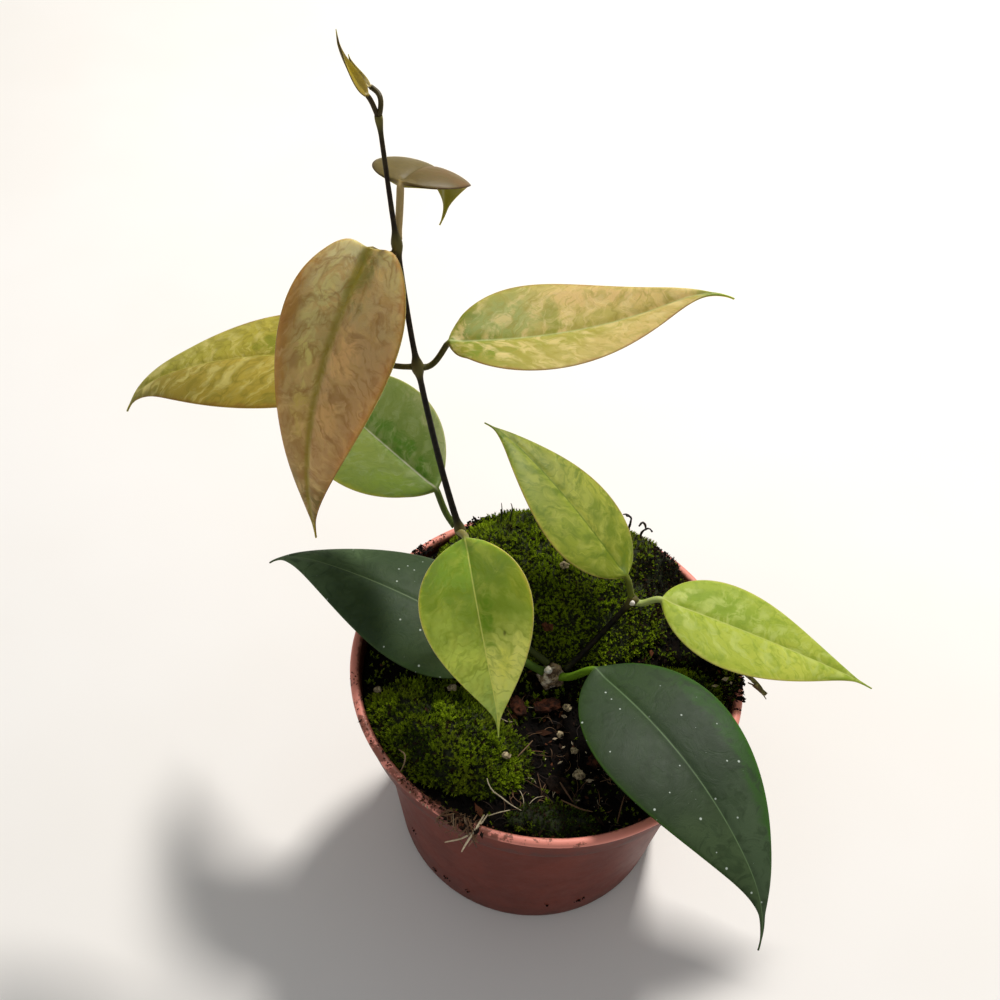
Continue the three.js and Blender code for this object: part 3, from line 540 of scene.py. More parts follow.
def smooth_way(stops, parts):
    """Points along the centripetal curve that runs through the stops, at even distances."""
    between = 40
    stops = [stops[0] * 2 - stops[1]] + list(stops) + [stops[-1] * 2 - stops[-2]]
    way = []
    for p0, p1, p2, p3 in zip(stops, stops[1:], stops[2:], stops[3:]):
        t1 = (p1 - p0).length ** 0.5
        t2 = t1 + (p2 - p1).length ** 0.5
        t3 = t2 + (p3 - p2).length ** 0.5
        for i in range(between):
            t = t1 + (t2 - t1) * i / between
            a1 = p0 * ((t1 - t) / t1) + p1 * (t / t1)
            a2 = p1 * ((t2 - t) / (t2 - t1)) + p2 * ((t - t1) / (t2 - t1))
            a3 = p2 * ((t3 - t) / (t3 - t2)) + p3 * ((t - t2) / (t3 - t2))
            b1 = a1 * ((t2 - t) / t2) + a2 * (t / t2)
            b2 = a2 * ((t3 - t) / (t3 - t1)) + a3 * ((t - t1) / (t3 - t1))
            way.append(b1 * ((t2 - t) / (t2 - t1)) + b2 * ((t - t1) / (t2 - t1)))
    way.append(stops[-2])
    gone = np.concatenate([[0], np.cumsum([(b - a).length for a, b in zip(way, way[1:])])])
    even = np.linspace(0, gone[-1], parts + 1)
    return np.column_stack([np.interp(even, gone, [p[i] for p in way]) for i in range(3)])


def round_lines(name, lines, sides):
    """Round lines in one piece, each a way in millimetres and its radii: bevelled curves."""
    bpy.ops.object.select_all(action="DESELECT")
    bpy.ops.curve.primitive_nurbs_path_add(location=(0, 0, 0))
    piece = bpy.context.object
    piece.name = name
    piece.data.splines.clear()
    for way, radii in lines:
        spline = piece.data.splines.new("POLY")
        spline.points.add(len(way) - 1)
        for point, spot, radius in zip(spline.points, way, radii):
            point.co = (*(spot * mm), 1)
            point.radius = radius
    piece.data.bevel_depth = mm
    piece.data.bevel_resolution = sides
    piece.data.use_fill_caps = True
    bpy.ops.object.convert(target="MESH")
    piece.data.materials.clear()
    return piece


one, two, three, four, side = (place for place, size in nodes_on_stem.values())
stems = {
    "vine_main": ([crown_at + Vector((-1.5, 2.4, 3.3)), Vector((-8.5, 3.4, 90)),
                   Vector((-18, 7.6, 104)), one, two, three, four + Vector((-0.05, 0.07, 0.45))],
                  220, 1.15, 0.55),
    "vine_side": ([crown_at + Vector((3.9, 1.9, 0.9)), Vector((13.6, 7, 86.8)),
                   side + Vector((0.8, 0.5, 0.8))], 60, 1.0, 0.9),
}
for node, (stops, parts, low, high) in stems.items():
    way = smooth_way(stops, parts)
    thick = []
    for i, spot in enumerate(way):
        radius = low + (high - low) * i / parts
        for place, size in nodes_on_stem.values():
            near = math.exp(-((Vector(spot) - place).length / 2.4) ** 2)
            radius = max(radius, radius + (size - radius) * near)
        thick.append(radius * (1 + 0.05 * noise.noise(Vector(spot) / 2.2)))
    stem = round_lines(node + "_bark", [(way, thick)], 6)
    merge_and_turn_out()
    bpy.ops.object.shade_smooth()
    stem.data.materials.append(stem_bark)
    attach(stem, "root")
    swelling = []
    for vertex in stem.data.vertices:
        near = min((vertex.co / mm - place).length for place, size in nodes_on_stem.values())
        swelling.append(math.exp(-(near / 2.6) ** 2))
    keep_values(stem, "swelling", swelling)
    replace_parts(stem, node)


# The leaves

# Twelve thick leathery leaves in pairs at the nodes, each grown in one piece with its
# petiole. A leaf is a lens-shaped tube: a groove for the midrib on top, a ridge below, a
# drawn-out tip. The old ones at the crown are dark green, the young top ones bronze.
def leaf_finish(name, seed, leaf):
    """The skin of one leaf; colours run from the petiole to the tip on either side of the rib."""
    finish = new_finish(name)
    along, over, underside = axes(carried("leaf_share", "Vector"))
    place = carried("leaf_place", "Vector")
    far, aside, _ = axes(place)
    moved = vectors("ADD", place, (seed * 37.0, seed * 11.0, seed * 5.0))
    cloudy = grain(moved, 0.09, 3.0)
    spotty = grain(moved, 0.22, 5.0, 0.65)
    curled = grain(moved, 0.16, 4.0, 0.62, 1.6)
    out = sums("ABSOLUTE", aside)
    off = sums("ABSOLUTE", over)

    # the ground colour of each half and the larger marks on it
    run = sums("MULTIPLY_ADD", sums("SUBTRACT", cloudy, 0.5), 0.45, along)
    halves = []
    for stops in (leaf["left"], leaf["right"]):
        ramp = tree.nodes.new("ShaderNodeValToRGB")
        tree.links.new(run, ramp.inputs[0])
        ramp.color_ramp.interpolation = "EASE"
        while len(ramp.color_ramp.elements) < len(stops):
            ramp.color_ramp.elements.new(0.5)
        for element, (where, colour) in zip(ramp.color_ramp.elements, stops):
            element.position = where
            element.color = paint(*colour)
        halves.append(ramp.outputs[0])
    skin = blend(band(over, -0.03, 0.03), halves[1], halves[0])
    for s, q, long, broad, colour, amount in leaf["marks"]:
        reach = put("CombineXYZ", {}, {0: times(sums("SUBTRACT", along, s), 1 / long),
                                       1: times(sums("SUBTRACT", over, q), 1 / broad)})[0]
        reach = sums("MULTIPLY_ADD", sums("SUBTRACT", curled, 0.5), 2.2, vectors("LENGTH", reach))
        skin = blend(times(band(reach, 1.15, 0.3), amount), skin, colour)

    # side veins: pairs that bend to the tip, the quilted skin between them and a fine net
    veins_apart = 8.5
    rank = sums("MULTIPLY_ADD", sums("POWER", out, 2.0), -0.012, far)
    rank = sums("MULTIPLY_ADD", out, -0.6, rank)
    rank = sums("MULTIPLY_ADD", cloudy, 17.0, rank)
    rank = times(sums("MULTIPLY_ADD", sums("SIGN", over), 1.7, rank), 1 / veins_apart)
    ripple = sums("ABSOLUTE", sums("SUBTRACT", sums("FRACT", rank), 0.5))
    quilt = times(band(ripple, 0.42, 0.08), band(off, 1.0, 0.5))
    quilt = times(quilt, band(curled, 0.42, 0.62))
    combed = put("CombineXYZ", {}, {0: times(rank, 3.4), 1: times(aside, 0.16), 2: seed * 3.7})[0]
    streaks = grain(combed, 1.0, 4.0, 0.6)
    meshed = put("CombineXYZ", {}, {0: times(rank, 2.8), 1: times(aside, 0.2), 2: seed * 2.3})[0]
    net = put("TexVoronoi", {"feature": "DISTANCE_TO_EDGE"}, {"Vector": meshed, "Scale": 1.0})
    net = times(band(net["Distance"], 0.16, 0.0), band(spotty, 0.35, 0.6))
    colour, amount = leaf["patch"]
    skin = blend(times(band(curled, 0.46, 0.62), amount), skin, colour)
    skin = blend(times(net, 0.5 if leaf["glow"] else 0.0), skin, colour)
    colour, amount = leaf["vein"]
    skin = blend(times(quilt, amount), skin, colour)
    skin = blend(times(band(streaks, 0.5, 0.72), amount * 0.8), skin, colour)

    # the rims, the edge line, the tip and the midrib
    left_rim, right_rim, wide, amount = leaf["rims"]
    border = sums("MULTIPLY_ADD", sums("SUBTRACT", spotty, 0.5), 0.35, off)
    rim_tint = blend(band(over, -0.1, 0.1), right_rim, left_rim)
    skin = blend(times(band(border, 1 - wide, 1.02), amount), skin, rim_tint)
    colour, amount = leaf["edge"]
    skin = blend(times(band(off, 0.95, 1.0), amount), skin, colour)
    colour, tip_from = leaf["tip"]
    skin = blend(band(along, tip_from, min(tip_from + 0.12, 1.0)), skin, colour)
    colour, amount, wide = leaf["rib"]
    slim = sums("MULTIPLY_ADD", along, -0.6 * wide, wide)
    fading = spread_out(curled, 0.6 * amount, amount, 0.35, 0.6)
    skin = blend(times(band(out, slim, times(slim, 0.2)), fading), skin, colour)

    # dust and water specks, then the underside and the petiole
    colour, amount, size = leaf["speck"]
    dots = put("TexVoronoi", {}, {"Vector": moved, "Scale": 0.42})
    chance, bulk, _ = axes(dots["Color"])
    reach = times(bulk, size)
    dot = band(dots["Distance"], reach, times(reach, 0.5))
    dot = times(dot, band(chance, 1 - amount, 1 - amount + 0.02))
    skin = blend(times(dot, 0.8), skin, colour)
    skin = blend(times(underside, 0.8), skin, leaf["under"])
    skin = blend(band(along, 0.012, -0.012), skin, leaf["stalk"])

    gloss = leaf["gloss"]
    relief = sums("MULTIPLY_ADD", quilt, -0.35, times(grain(moved, 2.4, 3.0), 0.1))
    relief = sums("MULTIPLY_ADD", curled, 0.8, relief)
    feed(shader, {"Base Color": skin, "Roughness": spread_out(spotty, gloss - 0.07, gloss + 0.12),
                  "Specular IOR Level": leaf["shine"], "Subsurface Weight": leaf["glow"],
                  "Subsurface Radius": (1.0, 0.9, 0.4), "Subsurface Scale": 0.0016,
                  "Normal": bump(0.3, 0.0006, relief)})
    return finish


# A leaf's row says where it springs (node, clearance, the petiole's radius and sag), the
# blade's base, its length and width, the petiole's lead and arrive directions, how it lies
# (heading, rise, droop and its lateness, turn, roll, twist), its form (fold, cup, the tip's
# hook and sidle, the tail's share, how blunt the base and how drawn out the tip), the colours
# of its left and right halves from petiole to tip, and its marks (share along, share across,
# length, breadth, colour, strength). The rest are colours with their strengths. Places are
# in millimetres, angles in degrees.
usual_leaf = dict(gloss=0.5, shine=0.2, glow=0.85, lobes=(0, 0), marks=())
leaf_table = {
    "leaf_front_dark": dict(
        spring=("crown", 4.2, 1.2, -1.5), base=(13.6, -8, 95), size=(94.5, 41.6),
        lead=(1, -0.42, 0.75), arrive=(1, -0.5, 0.95), lie=(-51, 15, 62, 1.54, -12.5, -1, 3.5),
        form=(7.5, 0.11, -2, -44, 0.09, 0.68, 1.19), slot="leaf_dark",
        # the lighter stops at 0.8 on both halves are painted light: they lift the steep lower part,
        # which turns away from the key light
        left=[(0, (49, 68, 35)), (0.4, (42, 56, 35)), (0.8, (66, 82, 56))],
        right=[(0, (49, 68, 35)), (0.4, (40, 54, 31)), (0.8, (62, 78, 48))],
        patch=((34, 48, 25), 0.5), rib=((111, 136, 91), 0.55, 0.4), vein=((57, 76, 46), 0.25),
        rims=((44, 92, 0), (40, 62, 20), 0.13, 0.6), edge=((65, 104, 18), 0.4),
        tip=((42, 56, 22), 0.9), stalk=(104, 140, 30), under=(88, 108, 56),
        marks=[(0.45, 0.86, 0.3, 0.22, (40, 82, 5), 0.6),
               (0.2, -0.5, 0.25, 0.4, (45, 58, 40), 0.5)], speck=((196, 206, 194), 0.46, 0.2),
        shine=0.14, glow=0.0),
    "leaf_left_dark": dict(
        spring=("crown", 4.2, 1.2, -1), base=(-12.4, -1, 91.1), size=(86.5, 41),
        lie=(158, 15, 35, 1.41, 1, 1, 2), form=(2, 0.2, 33, 11.5, 0.05, 0.59, 1.32),
        # the lighter stops at 0.85 and the lighter tip are painted light: they lift the outer half
        # out of the shadow the back leaf casts on it
        slot="leaf_dark", left=[(0, (56, 70, 35)), (0.5, (48, 65, 40)), (0.85, (84, 104, 68))],
        right=[(0, (56, 70, 35)), (0.5, (51, 68, 40)), (0.85, (84, 104, 68))],
        patch=((39, 56, 26), 0.5), rib=((113, 131, 91), 0.6, 0.4), vein=((68, 84, 53), 0.22),
        rims=((48, 72, 26), (48, 72, 26), 0.1, 0.5), edge=((63, 84, 40), 0.4),
        tip=((60, 72, 38), 0.9), stalk=(84, 112, 40), under=(84, 104, 56),
        speck=((190, 200, 188), 0.34, 0.2), shine=0.14, glow=0.0),
    "leaf_front_light": dict(
        spring=("one", 1.7, 1.05, 0.4), base=(-26.9, 8.5, 131.7), size=(60.5, 33.4),
        lead=(0.2, -1, 0.15), lie=(286, -31, 36, 1.25, 12.5, 21, 2.5),
        form=(14, 0.07, 10, -16, 0.09, 0.69, 1.3), slot="leaf_light",
        # the pale stops near 0.6 are partly the leaf's own pale yellow-green and partly painted
        # light that lifts the lower part, which turns away from the key light
        right=[(0, (120, 146, 60)), (0.3, (146, 170, 56)), (0.58, (222, 236, 104)),
               (0.92, (190, 214, 112))],
        left=[(0, (134, 160, 60)), (0.35, (158, 182, 52)), (0.6, (250, 252, 134)),
              (0.92, (224, 238, 126))], patch=((140, 164, 30), 0.3),
        rib=((249, 249, 138), 0.75, 0.4), vein=((249, 249, 120), 0.2),
        rims=((219, 200, 81), (232, 227, 93), 0.08, 0.35), edge=((170, 130, 76), 0.45),
        tip=((154, 195, 88), 0.9), stalk=(130, 122, 70), under=(160, 182, 80),
        marks=[(0.38, 0.16, 0.17, 0.17, (116, 158, 0), 0.8),
               (0.12, -0.3, 0.16, 0.6, (149, 183, 61), 0.7),
               (0.25, 0.85, 0.12, 0.2, (214, 206, 60), 0.25),
               (0.6, 0.45, 0.1, 0.25, (249, 249, 104), 0.5),
               (0.455, 0.45, 0.02, 0.05, (82, 85, 25), 0.9)], speck=((70, 80, 34), 0.04, 0.14)),
    "leaf_back_green": dict(
        spring=("one", 2.5, 0.95, 0), base=(-36.2, 19.3, 139.3), size=(82, 38),
        lead=(-0.8, 0.5, 0.35), arrive=(-0.4, 0.3, 0.85),
        lie=(135.5, -2.5, 16.5, 1.26, -13.5, -16, -5), form=(12, 0.08, 8, 0, 0.05, 0.71, 1.16),
        slot="leaf_green", left=[(0, (96, 118, 41)), (0.4, (122, 135, 57)), (0.9, (140, 146, 57))],
        right=[(0, (84, 109, 37)), (0.4, (112, 127, 59)), (0.9, (118, 129, 64))],
        patch=((98, 118, 47), 0.4), rib=((180, 178, 153), 0.75, 0.42),
        vein=((150, 160, 106), 0.35), rims=((146, 148, 41), (112, 127, 72), 0.1, 0.5),
        edge=((150, 148, 82), 0.4), tip=((110, 122, 62), 0.93), stalk=(74, 88, 26),
        under=(140, 160, 76),
        marks=[(0.2, -0.88, 0.22, 0.2, (152, 154, 106), 0.7),
               (0.22, -0.16, 0.28, 0.22, (66, 109, 8), 0.8),
               (0.12, 0.6, 0.12, 0.4, (116, 139, 37), 0.5)], speck=((60, 84, 30), 0.04, 0.14),
        gloss=0.46, shine=0.22, glow=0.7),
    "leaf_olive": dict(
        spring=("two", 1.9, 0.75, -0.6), base=(-50.3, 20.9, 184.2), size=(83, 35.5),
        lie=(169.5, -3, 38, 1.14, 7, -3, -1.5), form=(3.5, 0.14, 23, 36, 0.03, 0.63, 1.16),
        slot="leaf_olive",
        left=[(0, (148, 133, 42)), (0.4, (162, 141, 47)), (0.8, (148, 129, 42)),
              (1, (124, 121, 42))],
        right=[(0, (160, 151, 47)), (0.4, (170, 157, 55)), (0.8, (156, 149, 51)),
               (1, (126, 129, 45))], patch=((120, 112, 26), 0.48), rib=((193, 186, 86), 0.5, 0.35),
        vein=((218, 204, 122), 0.5), rims=((138, 103, 38), (130, 99, 34), 0.1, 0.7),
        edge=((99, 71, 28), 0.6), tip=((110, 111, 57), 0.93), stalk=(84, 76, 26),
        under=(150, 138, 70),
        marks=[(0.28, -0.25, 0.2, 0.3, (114, 123, 19), 0.7),
               (0.12, -0.5, 0.1, 0.4, (183, 176, 66), 0.6),
               (0.45, 0.35, 0.2, 0.35, (176, 157, 63), 0.6)], speck=((86, 70, 30), 0.05, 0.14)),
    "leaf_gold": dict(
        spring=("two", 1.7, 0.8, -0.6), base=(-33.9, 23.3, 191), size=(74.8, 33.2),
        lead=(1, 0.2, -0.15), arrive=(0.5, 0.1, 0.85), lie=(9.5, -1.5, -32.5, 1.47, 11.5, 1, 0),
        form=(17, 0.07, 56, -24, 0.07, 0.64, 1.26), slot="leaf_gold",
        left=[(0, (107, 122, 9)), (0.18, (156, 155, 68)), (0.45, (202, 180, 106)),
              (0.85, (206, 184, 114))],
        right=[(0, (110, 124, 13)), (0.25, (160, 152, 66)), (0.6, (194, 172, 104)),
               (0.85, (186, 164, 96))], patch=((152, 142, 50), 0.5),
        rib=((178, 188, 118), 0.75, 0.5), vein=((232, 210, 150), 0.5),
        rims=((162, 120, 74), (153, 112, 64), 0.09, 0.6), edge=((105, 81, 49), 0.6),
        tip=((112, 132, 36), 0.82), stalk=(72, 68, 20), under=(190, 172, 104),
        marks=[(0.2, 0.35, 0.16, 0.4, (148, 160, 88), 0.65),
               (0.5, 0.15, 0.2, 0.25, (168, 163, 70), 0.6),
               (0.12, -0.3, 0.1, 0.5, (114, 130, 19), 0.6),
               (0.55, 0.7, 0.2, 0.3, (205, 174, 116), 0.5),
               (0.42, -0.15, 0.32, 0.25, (152, 150, 58), 0.65),
               (0.36, 0.3, 0.04, 0.4, (142, 146, 48), 0.7)], speck=((100, 84, 44), 0.05, 0.14)),
    "leaf_bronze": dict(
        spring=("three", 1.65, 0.8, -1.2), lead=(-0.2, -0.5, -1), arrive=(-0.6, -0.3, 0.7),
        base=(-53, 24.2, 217.8), size=(87.4, 35.3), lie=(240, -41.5, 67, 1.3, 9.5, 2.5, 7),
        form=(5, 0.17, -15, -5, 0.05, 0.48, 1.38), lobes=(3.7, 1.9), slot="leaf_bronze",
        right=[(0, (226, 216, 160)), (0.25, (192, 170, 104)), (0.6, (178, 144, 78)),
               (0.9, (104, 88, 6))],
        left=[(0, (200, 186, 124)), (0.25, (202, 170, 114)), (0.6, (194, 156, 98)),
              (0.9, (112, 92, 8))], patch=((160, 114, 50), 0.45), rib=((150, 136, 6), 0.7, 2.2),
        vein=((236, 208, 134), 0.38), rims=((177, 128, 72), (168, 118, 47), 0.14, 0.7),
        edge=((84, 58, 31), 0.8), tip=((108, 98, 6), 0.88), stalk=(92, 76, 36),
        under=(150, 112, 74),
        marks=[(0.2, -0.4, 0.13, 0.3, (216, 206, 134), 0.8),
               (0.36, -0.32, 0.08, 0.3, (219, 207, 120), 0.8),
               (0.3, -0.86, 0.25, 0.25, (177, 128, 45), 0.8),
               (0.5, -0.3, 0.08, 0.25, (210, 188, 97), 0.7),
               (0.3, 0.28, 0.1, 0.25, (231, 192, 124), 0.7),
               (0.48, 0.3, 0.08, 0.25, (226, 185, 113), 0.6),
               (0.06, 0.1, 0.12, 0.3, (124, 118, 13), 0.7)], speck=((90, 68, 36), 0.05, 0.14),
        gloss=0.46, glow=0.95),
    "leaf_upper": dict(
        spring=("three", 1.85, 0.92, 0), base=(-46.7, 34.2, 229.3), size=(38.8, 24.9),
        lead=(0.05, 0.59, 0.8), arrive=(-0.03, 0.55, 0.85),
        lie=(67, -1.7, 121.5, 1.46, -12, -3.5, 6), form=(6.5, 0.19, 15, -2, 0.1, 0.57, 1.32),
        slot="leaf_bronze", left=[(0, (104, 90, 48)), (0.5, (112, 97, 54)), (0.9, (93, 97, 10))],
        right=[(0, (100, 83, 38)), (0.5, (119, 90, 55)), (0.9, (95, 97, 12))],
        patch=((100, 86, 43), 0.4), rib=((87, 75, 24), 0.6, 0.4), vein=((120, 104, 58), 0.3),
        rims=((74, 57, 22), (102, 72, 39), 0.12, 0.6), edge=((50, 35, 17), 0.8),
        tip=((89, 94, 7), 0.9), stalk=(178, 154, 102), under=(152, 146, 34),
        speck=((90, 70, 40), 0.03, 0.14), gloss=0.46, glow=0.6),
    "leaf_side_up": dict(
        spring=("side", 2.0, 1.0, 0), base=(21.2, 16.6, 109.4), size=(65, 29.3),
        lie=(135.5, 26, 21.5, 1.63, 3.5, 7.5, -1.5), form=(7.5, 0.17, 6, 12.5, 0.04, 0.63, 1.21),
        slot="leaf_light",
        left=[(0, (101, 114, 2)), (0.35, (134, 146, 42)), (0.7, (130, 142, 50)),
              (1, (99, 114, 30))],
        right=[(0, (104, 117, 3)), (0.35, (154, 158, 54)), (0.7, (138, 144, 50)),
               (1, (101, 114, 30))], patch=((86, 108, 12), 0.6), rib=((77, 104, 9), 0.7, 0.45),
        vein=((176, 178, 76), 0.5), rims=((176, 177, 71), (135, 123, 37), 0.1, 0.7),
        edge=((176, 136, 84), 0.5), tip=((94, 110, 30), 0.9), stalk=(100, 108, 30),
        under=(156, 170, 84),
        marks=[(0.3, -0.4, 0.16, 0.3, (90, 112, 2), 0.7),
               (0.2, 0.5, 0.14, 0.35, (135, 146, 37), 0.6),
               (0.55, 0.4, 0.2, 0.3, (128, 137, 45), 0.6)], speck=((70, 76, 30), 0.06, 0.12),
        glow=0.5),
    "leaf_side_right": dict(
        spring=("side", 2.0, 1.0, -0.6), base=(32.7, 12.8, 103.9), size=(72.8, 31.2),
        lead=(1, -0.2, -0.45), lie=(-11, -12, 11.5, 1.2, 3.5, 0.5, 3),
        form=(7.5, 0.15, 8, 0, 0.06, 0.66, 1.32), slot="leaf_light",
        left=[(0, (144, 162, 35)), (0.3, (152, 168, 57)), (0.65, (166, 175, 63)),
              (0.95, (129, 149, 41))],
        right=[(0, (156, 170, 44)), (0.3, (166, 177, 59)), (0.65, (177, 185, 70)),
               (0.95, (129, 149, 41))], patch=((122, 146, 30), 0.5),
        rib=((191, 198, 108), 0.75, 0.35), vein=((206, 212, 120), 0.42),
        rims=((179, 185, 75), (200, 202, 99), 0.1, 0.6), edge=((186, 160, 96), 0.4),
        tip=((100, 126, 22), 0.9), stalk=(164, 176, 100), under=(176, 192, 96),
        marks=[(0.25, 0.35, 0.2, 0.35, (127, 153, 30), 0.7),
               (0.5, 0.45, 0.14, 0.3, (144, 164, 44), 0.6),
               (0.6, -0.5, 0.2, 0.35, (185, 191, 75), 0.6)], speck=((72, 84, 30), 0.08, 0.13),
        glow=0.5),
    "leaf_tip_long": dict(
        spring=("four", 1.0, 0.58, 0), base=(-53.2, 31.3, 253.2), size=(16.3, 4),
        lie=(172, 50, -40, 1.2, 22, -17, 27), form=(14, 0.04, 8, 19, 0.05, 0.58, 1.47),
        slot="leaf_olive", left=[(0, (150, 128, 60)), (0.4, (164, 142, 22)), (1, (60, 44, 20))],
        right=[(0, (150, 128, 60)), (0.4, (150, 128, 18)), (1, (60, 44, 20))],
        patch=((104, 88, 26), 0.4), rib=((134, 124, 40), 0.4, 0.4), vein=((96, 84, 26), 0.2),
        rims=((52, 36, 18), (52, 36, 18), 0.2, 0.8), edge=((38, 26, 16), 0.9),
        tip=((44, 30, 18), 0.75), stalk=(58, 46, 20), under=(96, 84, 30),
        speck=((80, 60, 30), 0.0, 0.1), gloss=0.45, glow=0.3),
    "leaf_tip_small": dict(
        spring=("four", 1.0, 0.6, 2.6), base=(-53, 34.9, 253.3), size=(8.6, 2.4),
        lead=(0.5, 0.2, 1), lie=(174, 30, -45, 0.7, 0, -17, 10),
        form=(14, 0.04, 0, 0, 0.05, 0.6, 1.3), slot="leaf_olive",
        left=[(0, (196, 180, 130)), (0.5, (150, 132, 50)), (1, (70, 56, 24))],
        right=[(0, (196, 180, 130)), (0.5, (150, 132, 50)), (1, (70, 56, 24))],
        patch=((100, 86, 28), 0.4), rib=((124, 112, 40), 0.4, 0.3), vein=((92, 78, 26), 0.2),
        rims=((60, 44, 20), (60, 44, 20), 0.2, 0.7), edge=((46, 32, 18), 0.8),
        tip=((50, 36, 18), 0.8), stalk=(70, 60, 26), under=(96, 84, 30),
        speck=((80, 60, 30), 0.0, 0.1), gloss=0.45, glow=0.3),
}
# Where the tube's rows lie across a leaf: from one margin over the top to the other margin
# and back along the underside, closer together at the midrib.
half_round = [1, 0.985, 0.95, 0.9, 0.83, 0.74, 0.64, 0.53, 0.42, 0.31, 0.21, 0.13, 0.07, 0.03]
across = half_round + [0] + [-q for q in reversed(half_round)]
across = across + across[-2::-1]
petiole_rows, blade_rows, sunk_in = 12, 96, 0.7
half_thick, groove_deep, ridge_high, hook_from = 0.5, 0.34, 0.55, 0.72


def bearing(leaf, s):
    """The blade's run, its left-hand side and its upper side at a share of its length."""
    heading, rise, droop, late, turn, roll, twist = leaf["lie"]
    hook, sidle = leaf["form"][2:4]
    late_part = max((s - hook_from) / (1 - hook_from), 0) ** 2
    bend = max(s, 0) ** late
    pitch = math.radians(rise - droop * bend - hook * late_part)
    compass = math.radians(heading + turn * bend + sidle * late_part)
    ahead = Vector((math.cos(pitch) * math.cos(compass), math.cos(pitch) * math.sin(compass),
                    math.sin(pitch)))
    level = Vector((-math.sin(compass), math.cos(compass), 0))
    above = ahead.cross(level)
    lean = math.radians(roll + twist * s)
    left = level * math.cos(lean) + above * math.sin(lean)
    return ahead, left, above * math.cos(lean) - level * math.sin(lean)


def leaf_rings(leaf):
    """Rings from the node to the tip. Each is its share of the blade, its middle, left side and
    upper side, how far the section has opened from the petiole's round one, and half width."""
    where, clear, stalk_radius, sag = leaf["spring"]
    start = crown_at if where == "crown" else nodes_on_stem[where][0]
    base = Vector(leaf["base"])
    length, width = leaf["size"]
    tail, blunt, point = leaf["form"][4:]
    ahead, left_hand, _ = bearing(leaf, 0)
    outward = Vector(leaf.get("lead", base - start)).normalized()
    arrival = Vector(leaf.get("arrive", ahead)).normalized()
    sprung = start + outward * (clear - sunk_in)
    far = (base - sprung).length

    # the petiole: rings along a curve from the node to the blade's base
    a, b = sprung, sprung + outward * far * 0.35 + Vector((0, 0, sag))
    c, d = base - arrival * far * 0.35, base
    rows = []
    for i in range(petiole_rows):
        t = i / petiole_rows
        centre = a * (1 - t) ** 3 + b * 3 * t * (1 - t) ** 2 + c * 3 * t * t * (1 - t) + d * t ** 3
        run = ((b - a) * (1 - t) ** 2 + (c - b) * 2 * t * (1 - t) + (d - c) * t * t).normalized()
        left = (left_hand - run * left_hand.dot(run)).normalized()
        flare = 1 + 0.35 * math.exp(-(t / 0.09) ** 2)
        rows.append(((t - 1) * far / length, centre, left, run.cross(left), 0.0,
                     stalk_radius * flare))
    rows.insert(0, rows[0][:5] + (0.0,))

    # the blade: rings along its midrib, which droops and turns from the base to the tip
    centre, before = base, 0
    peak = blunt / (blunt + point)
    fullest = peak ** blunt * (1 - peak) ** point
    for i in range(blade_rows + 1):
        t = i / blade_rows
        s = 0.5 * (t + 0.5 - 0.5 * math.cos(math.pi * t))
        centre = centre + bearing(leaf, (before + s) / 2)[0] * (s - before) * length
        before = s
        _, left, top = bearing(leaf, s)
        t = min(s / (1 - tail), 1)
        blade = width / 2 * t ** blunt * (1 - t) ** point / fullest
        half = math.hypot(blade, 0.024 * width * min(max((1 - s) / 0.12, 0.25), 1))
        opened = min(s / 0.06, 1)
        opened = opened * opened * (3 - 2 * opened)
        rows.append((s, centre, left, top, opened, max(half, stalk_radius * (1 - opened))))
    rows.append(rows[-1][:5] + (0.0,))
    return rows


def leaf_tube(name, leaf, seed):
    """One leaf: a grid laid round its rings, where s runs along the leaf and q across it."""
    rows = leaf_rings(leaf)
    length, width = leaf["size"]
    stalk_radius = leaf["spring"][2]
    fold, cup = leaf["form"][:2]
    slope, lie_flat = math.sin(math.radians(fold)), math.cos(math.radians(fold))
    slight = min(max(width / 24, 0.4), 1)
    bpy.ops.object.select_all(action="DESELECT")
    bpy.ops.mesh.primitive_grid_add(
        x_subdivisions=len(across) - 1, y_subdivisions=len(rows) - 1, size=1)
    blade = bpy.context.object
    blade.name = name
    shares, places = [], []
    for vertex in blade.data.vertices:
        column = round((vertex.co.x + 0.5) * (len(across) - 1))
        s, centre, left, top, opened, half = rows[round((vertex.co.y + 0.5) * (len(rows) - 1))]
        q = across[column]
        upper = column < (len(across) - 1) / 2
        out = q * half

        # the skin over the middle of the blade: thin at the margins and the tip
        narrow = min(max((s - 0.8) / 0.2, 0), 1)
        rib, rib_wide = (-groove_deep, 0.9) if upper else (ridge_high, 1.0)
        skin = half_thick * (1 - narrow / 2) + rib * (1 - narrow) * math.exp(-(out / rib_wide) ** 2)
        skin *= slight * (1 - abs(q) ** 5) ** 0.5

        # the fold along the midrib, the cupping and the waved margins
        gutter = math.sqrt(q * q + 0.0016) * slope - cup * q * q
        wave = 0.22 * slight * q * q * math.sin(9.4 * s + seed) * min(half / 8, 1)
        flat = half * gutter + wave + (skin if upper else -skin)
        rounded = math.sqrt(max(1 - q * q, 0)) * min(half, stalk_radius) * (1 if upper else -1)
        if half == 0:
            flat = rounded = 0
        lift = rounded + (flat - rounded) * opened
        aside = q * half * (1 + (lie_flat - 1) * opened)

        # the round lobes that reach back past the petiole
        lobe = leaf["lobes"][0 if q > 0 else 1] * abs(q)
        lobe *= (1 - math.exp(-max(s, 0) / 0.008)) * max(1 - s / 0.12, 0) ** 2
        vertex.co = (centre + left * aside + top * lift - left.cross(top) * lobe) * mm
        shares += [s, q, 0.0 if upper or abs(q) == 1 else 1.0]
        places += [s * length, out, 0.0 if upper else 3.0]
    keep_values(blade, "leaf_share", shares)
    keep_values(blade, "leaf_place", places)
    merge_and_turn_out()
    bpy.ops.object.shade_smooth()
    return blade


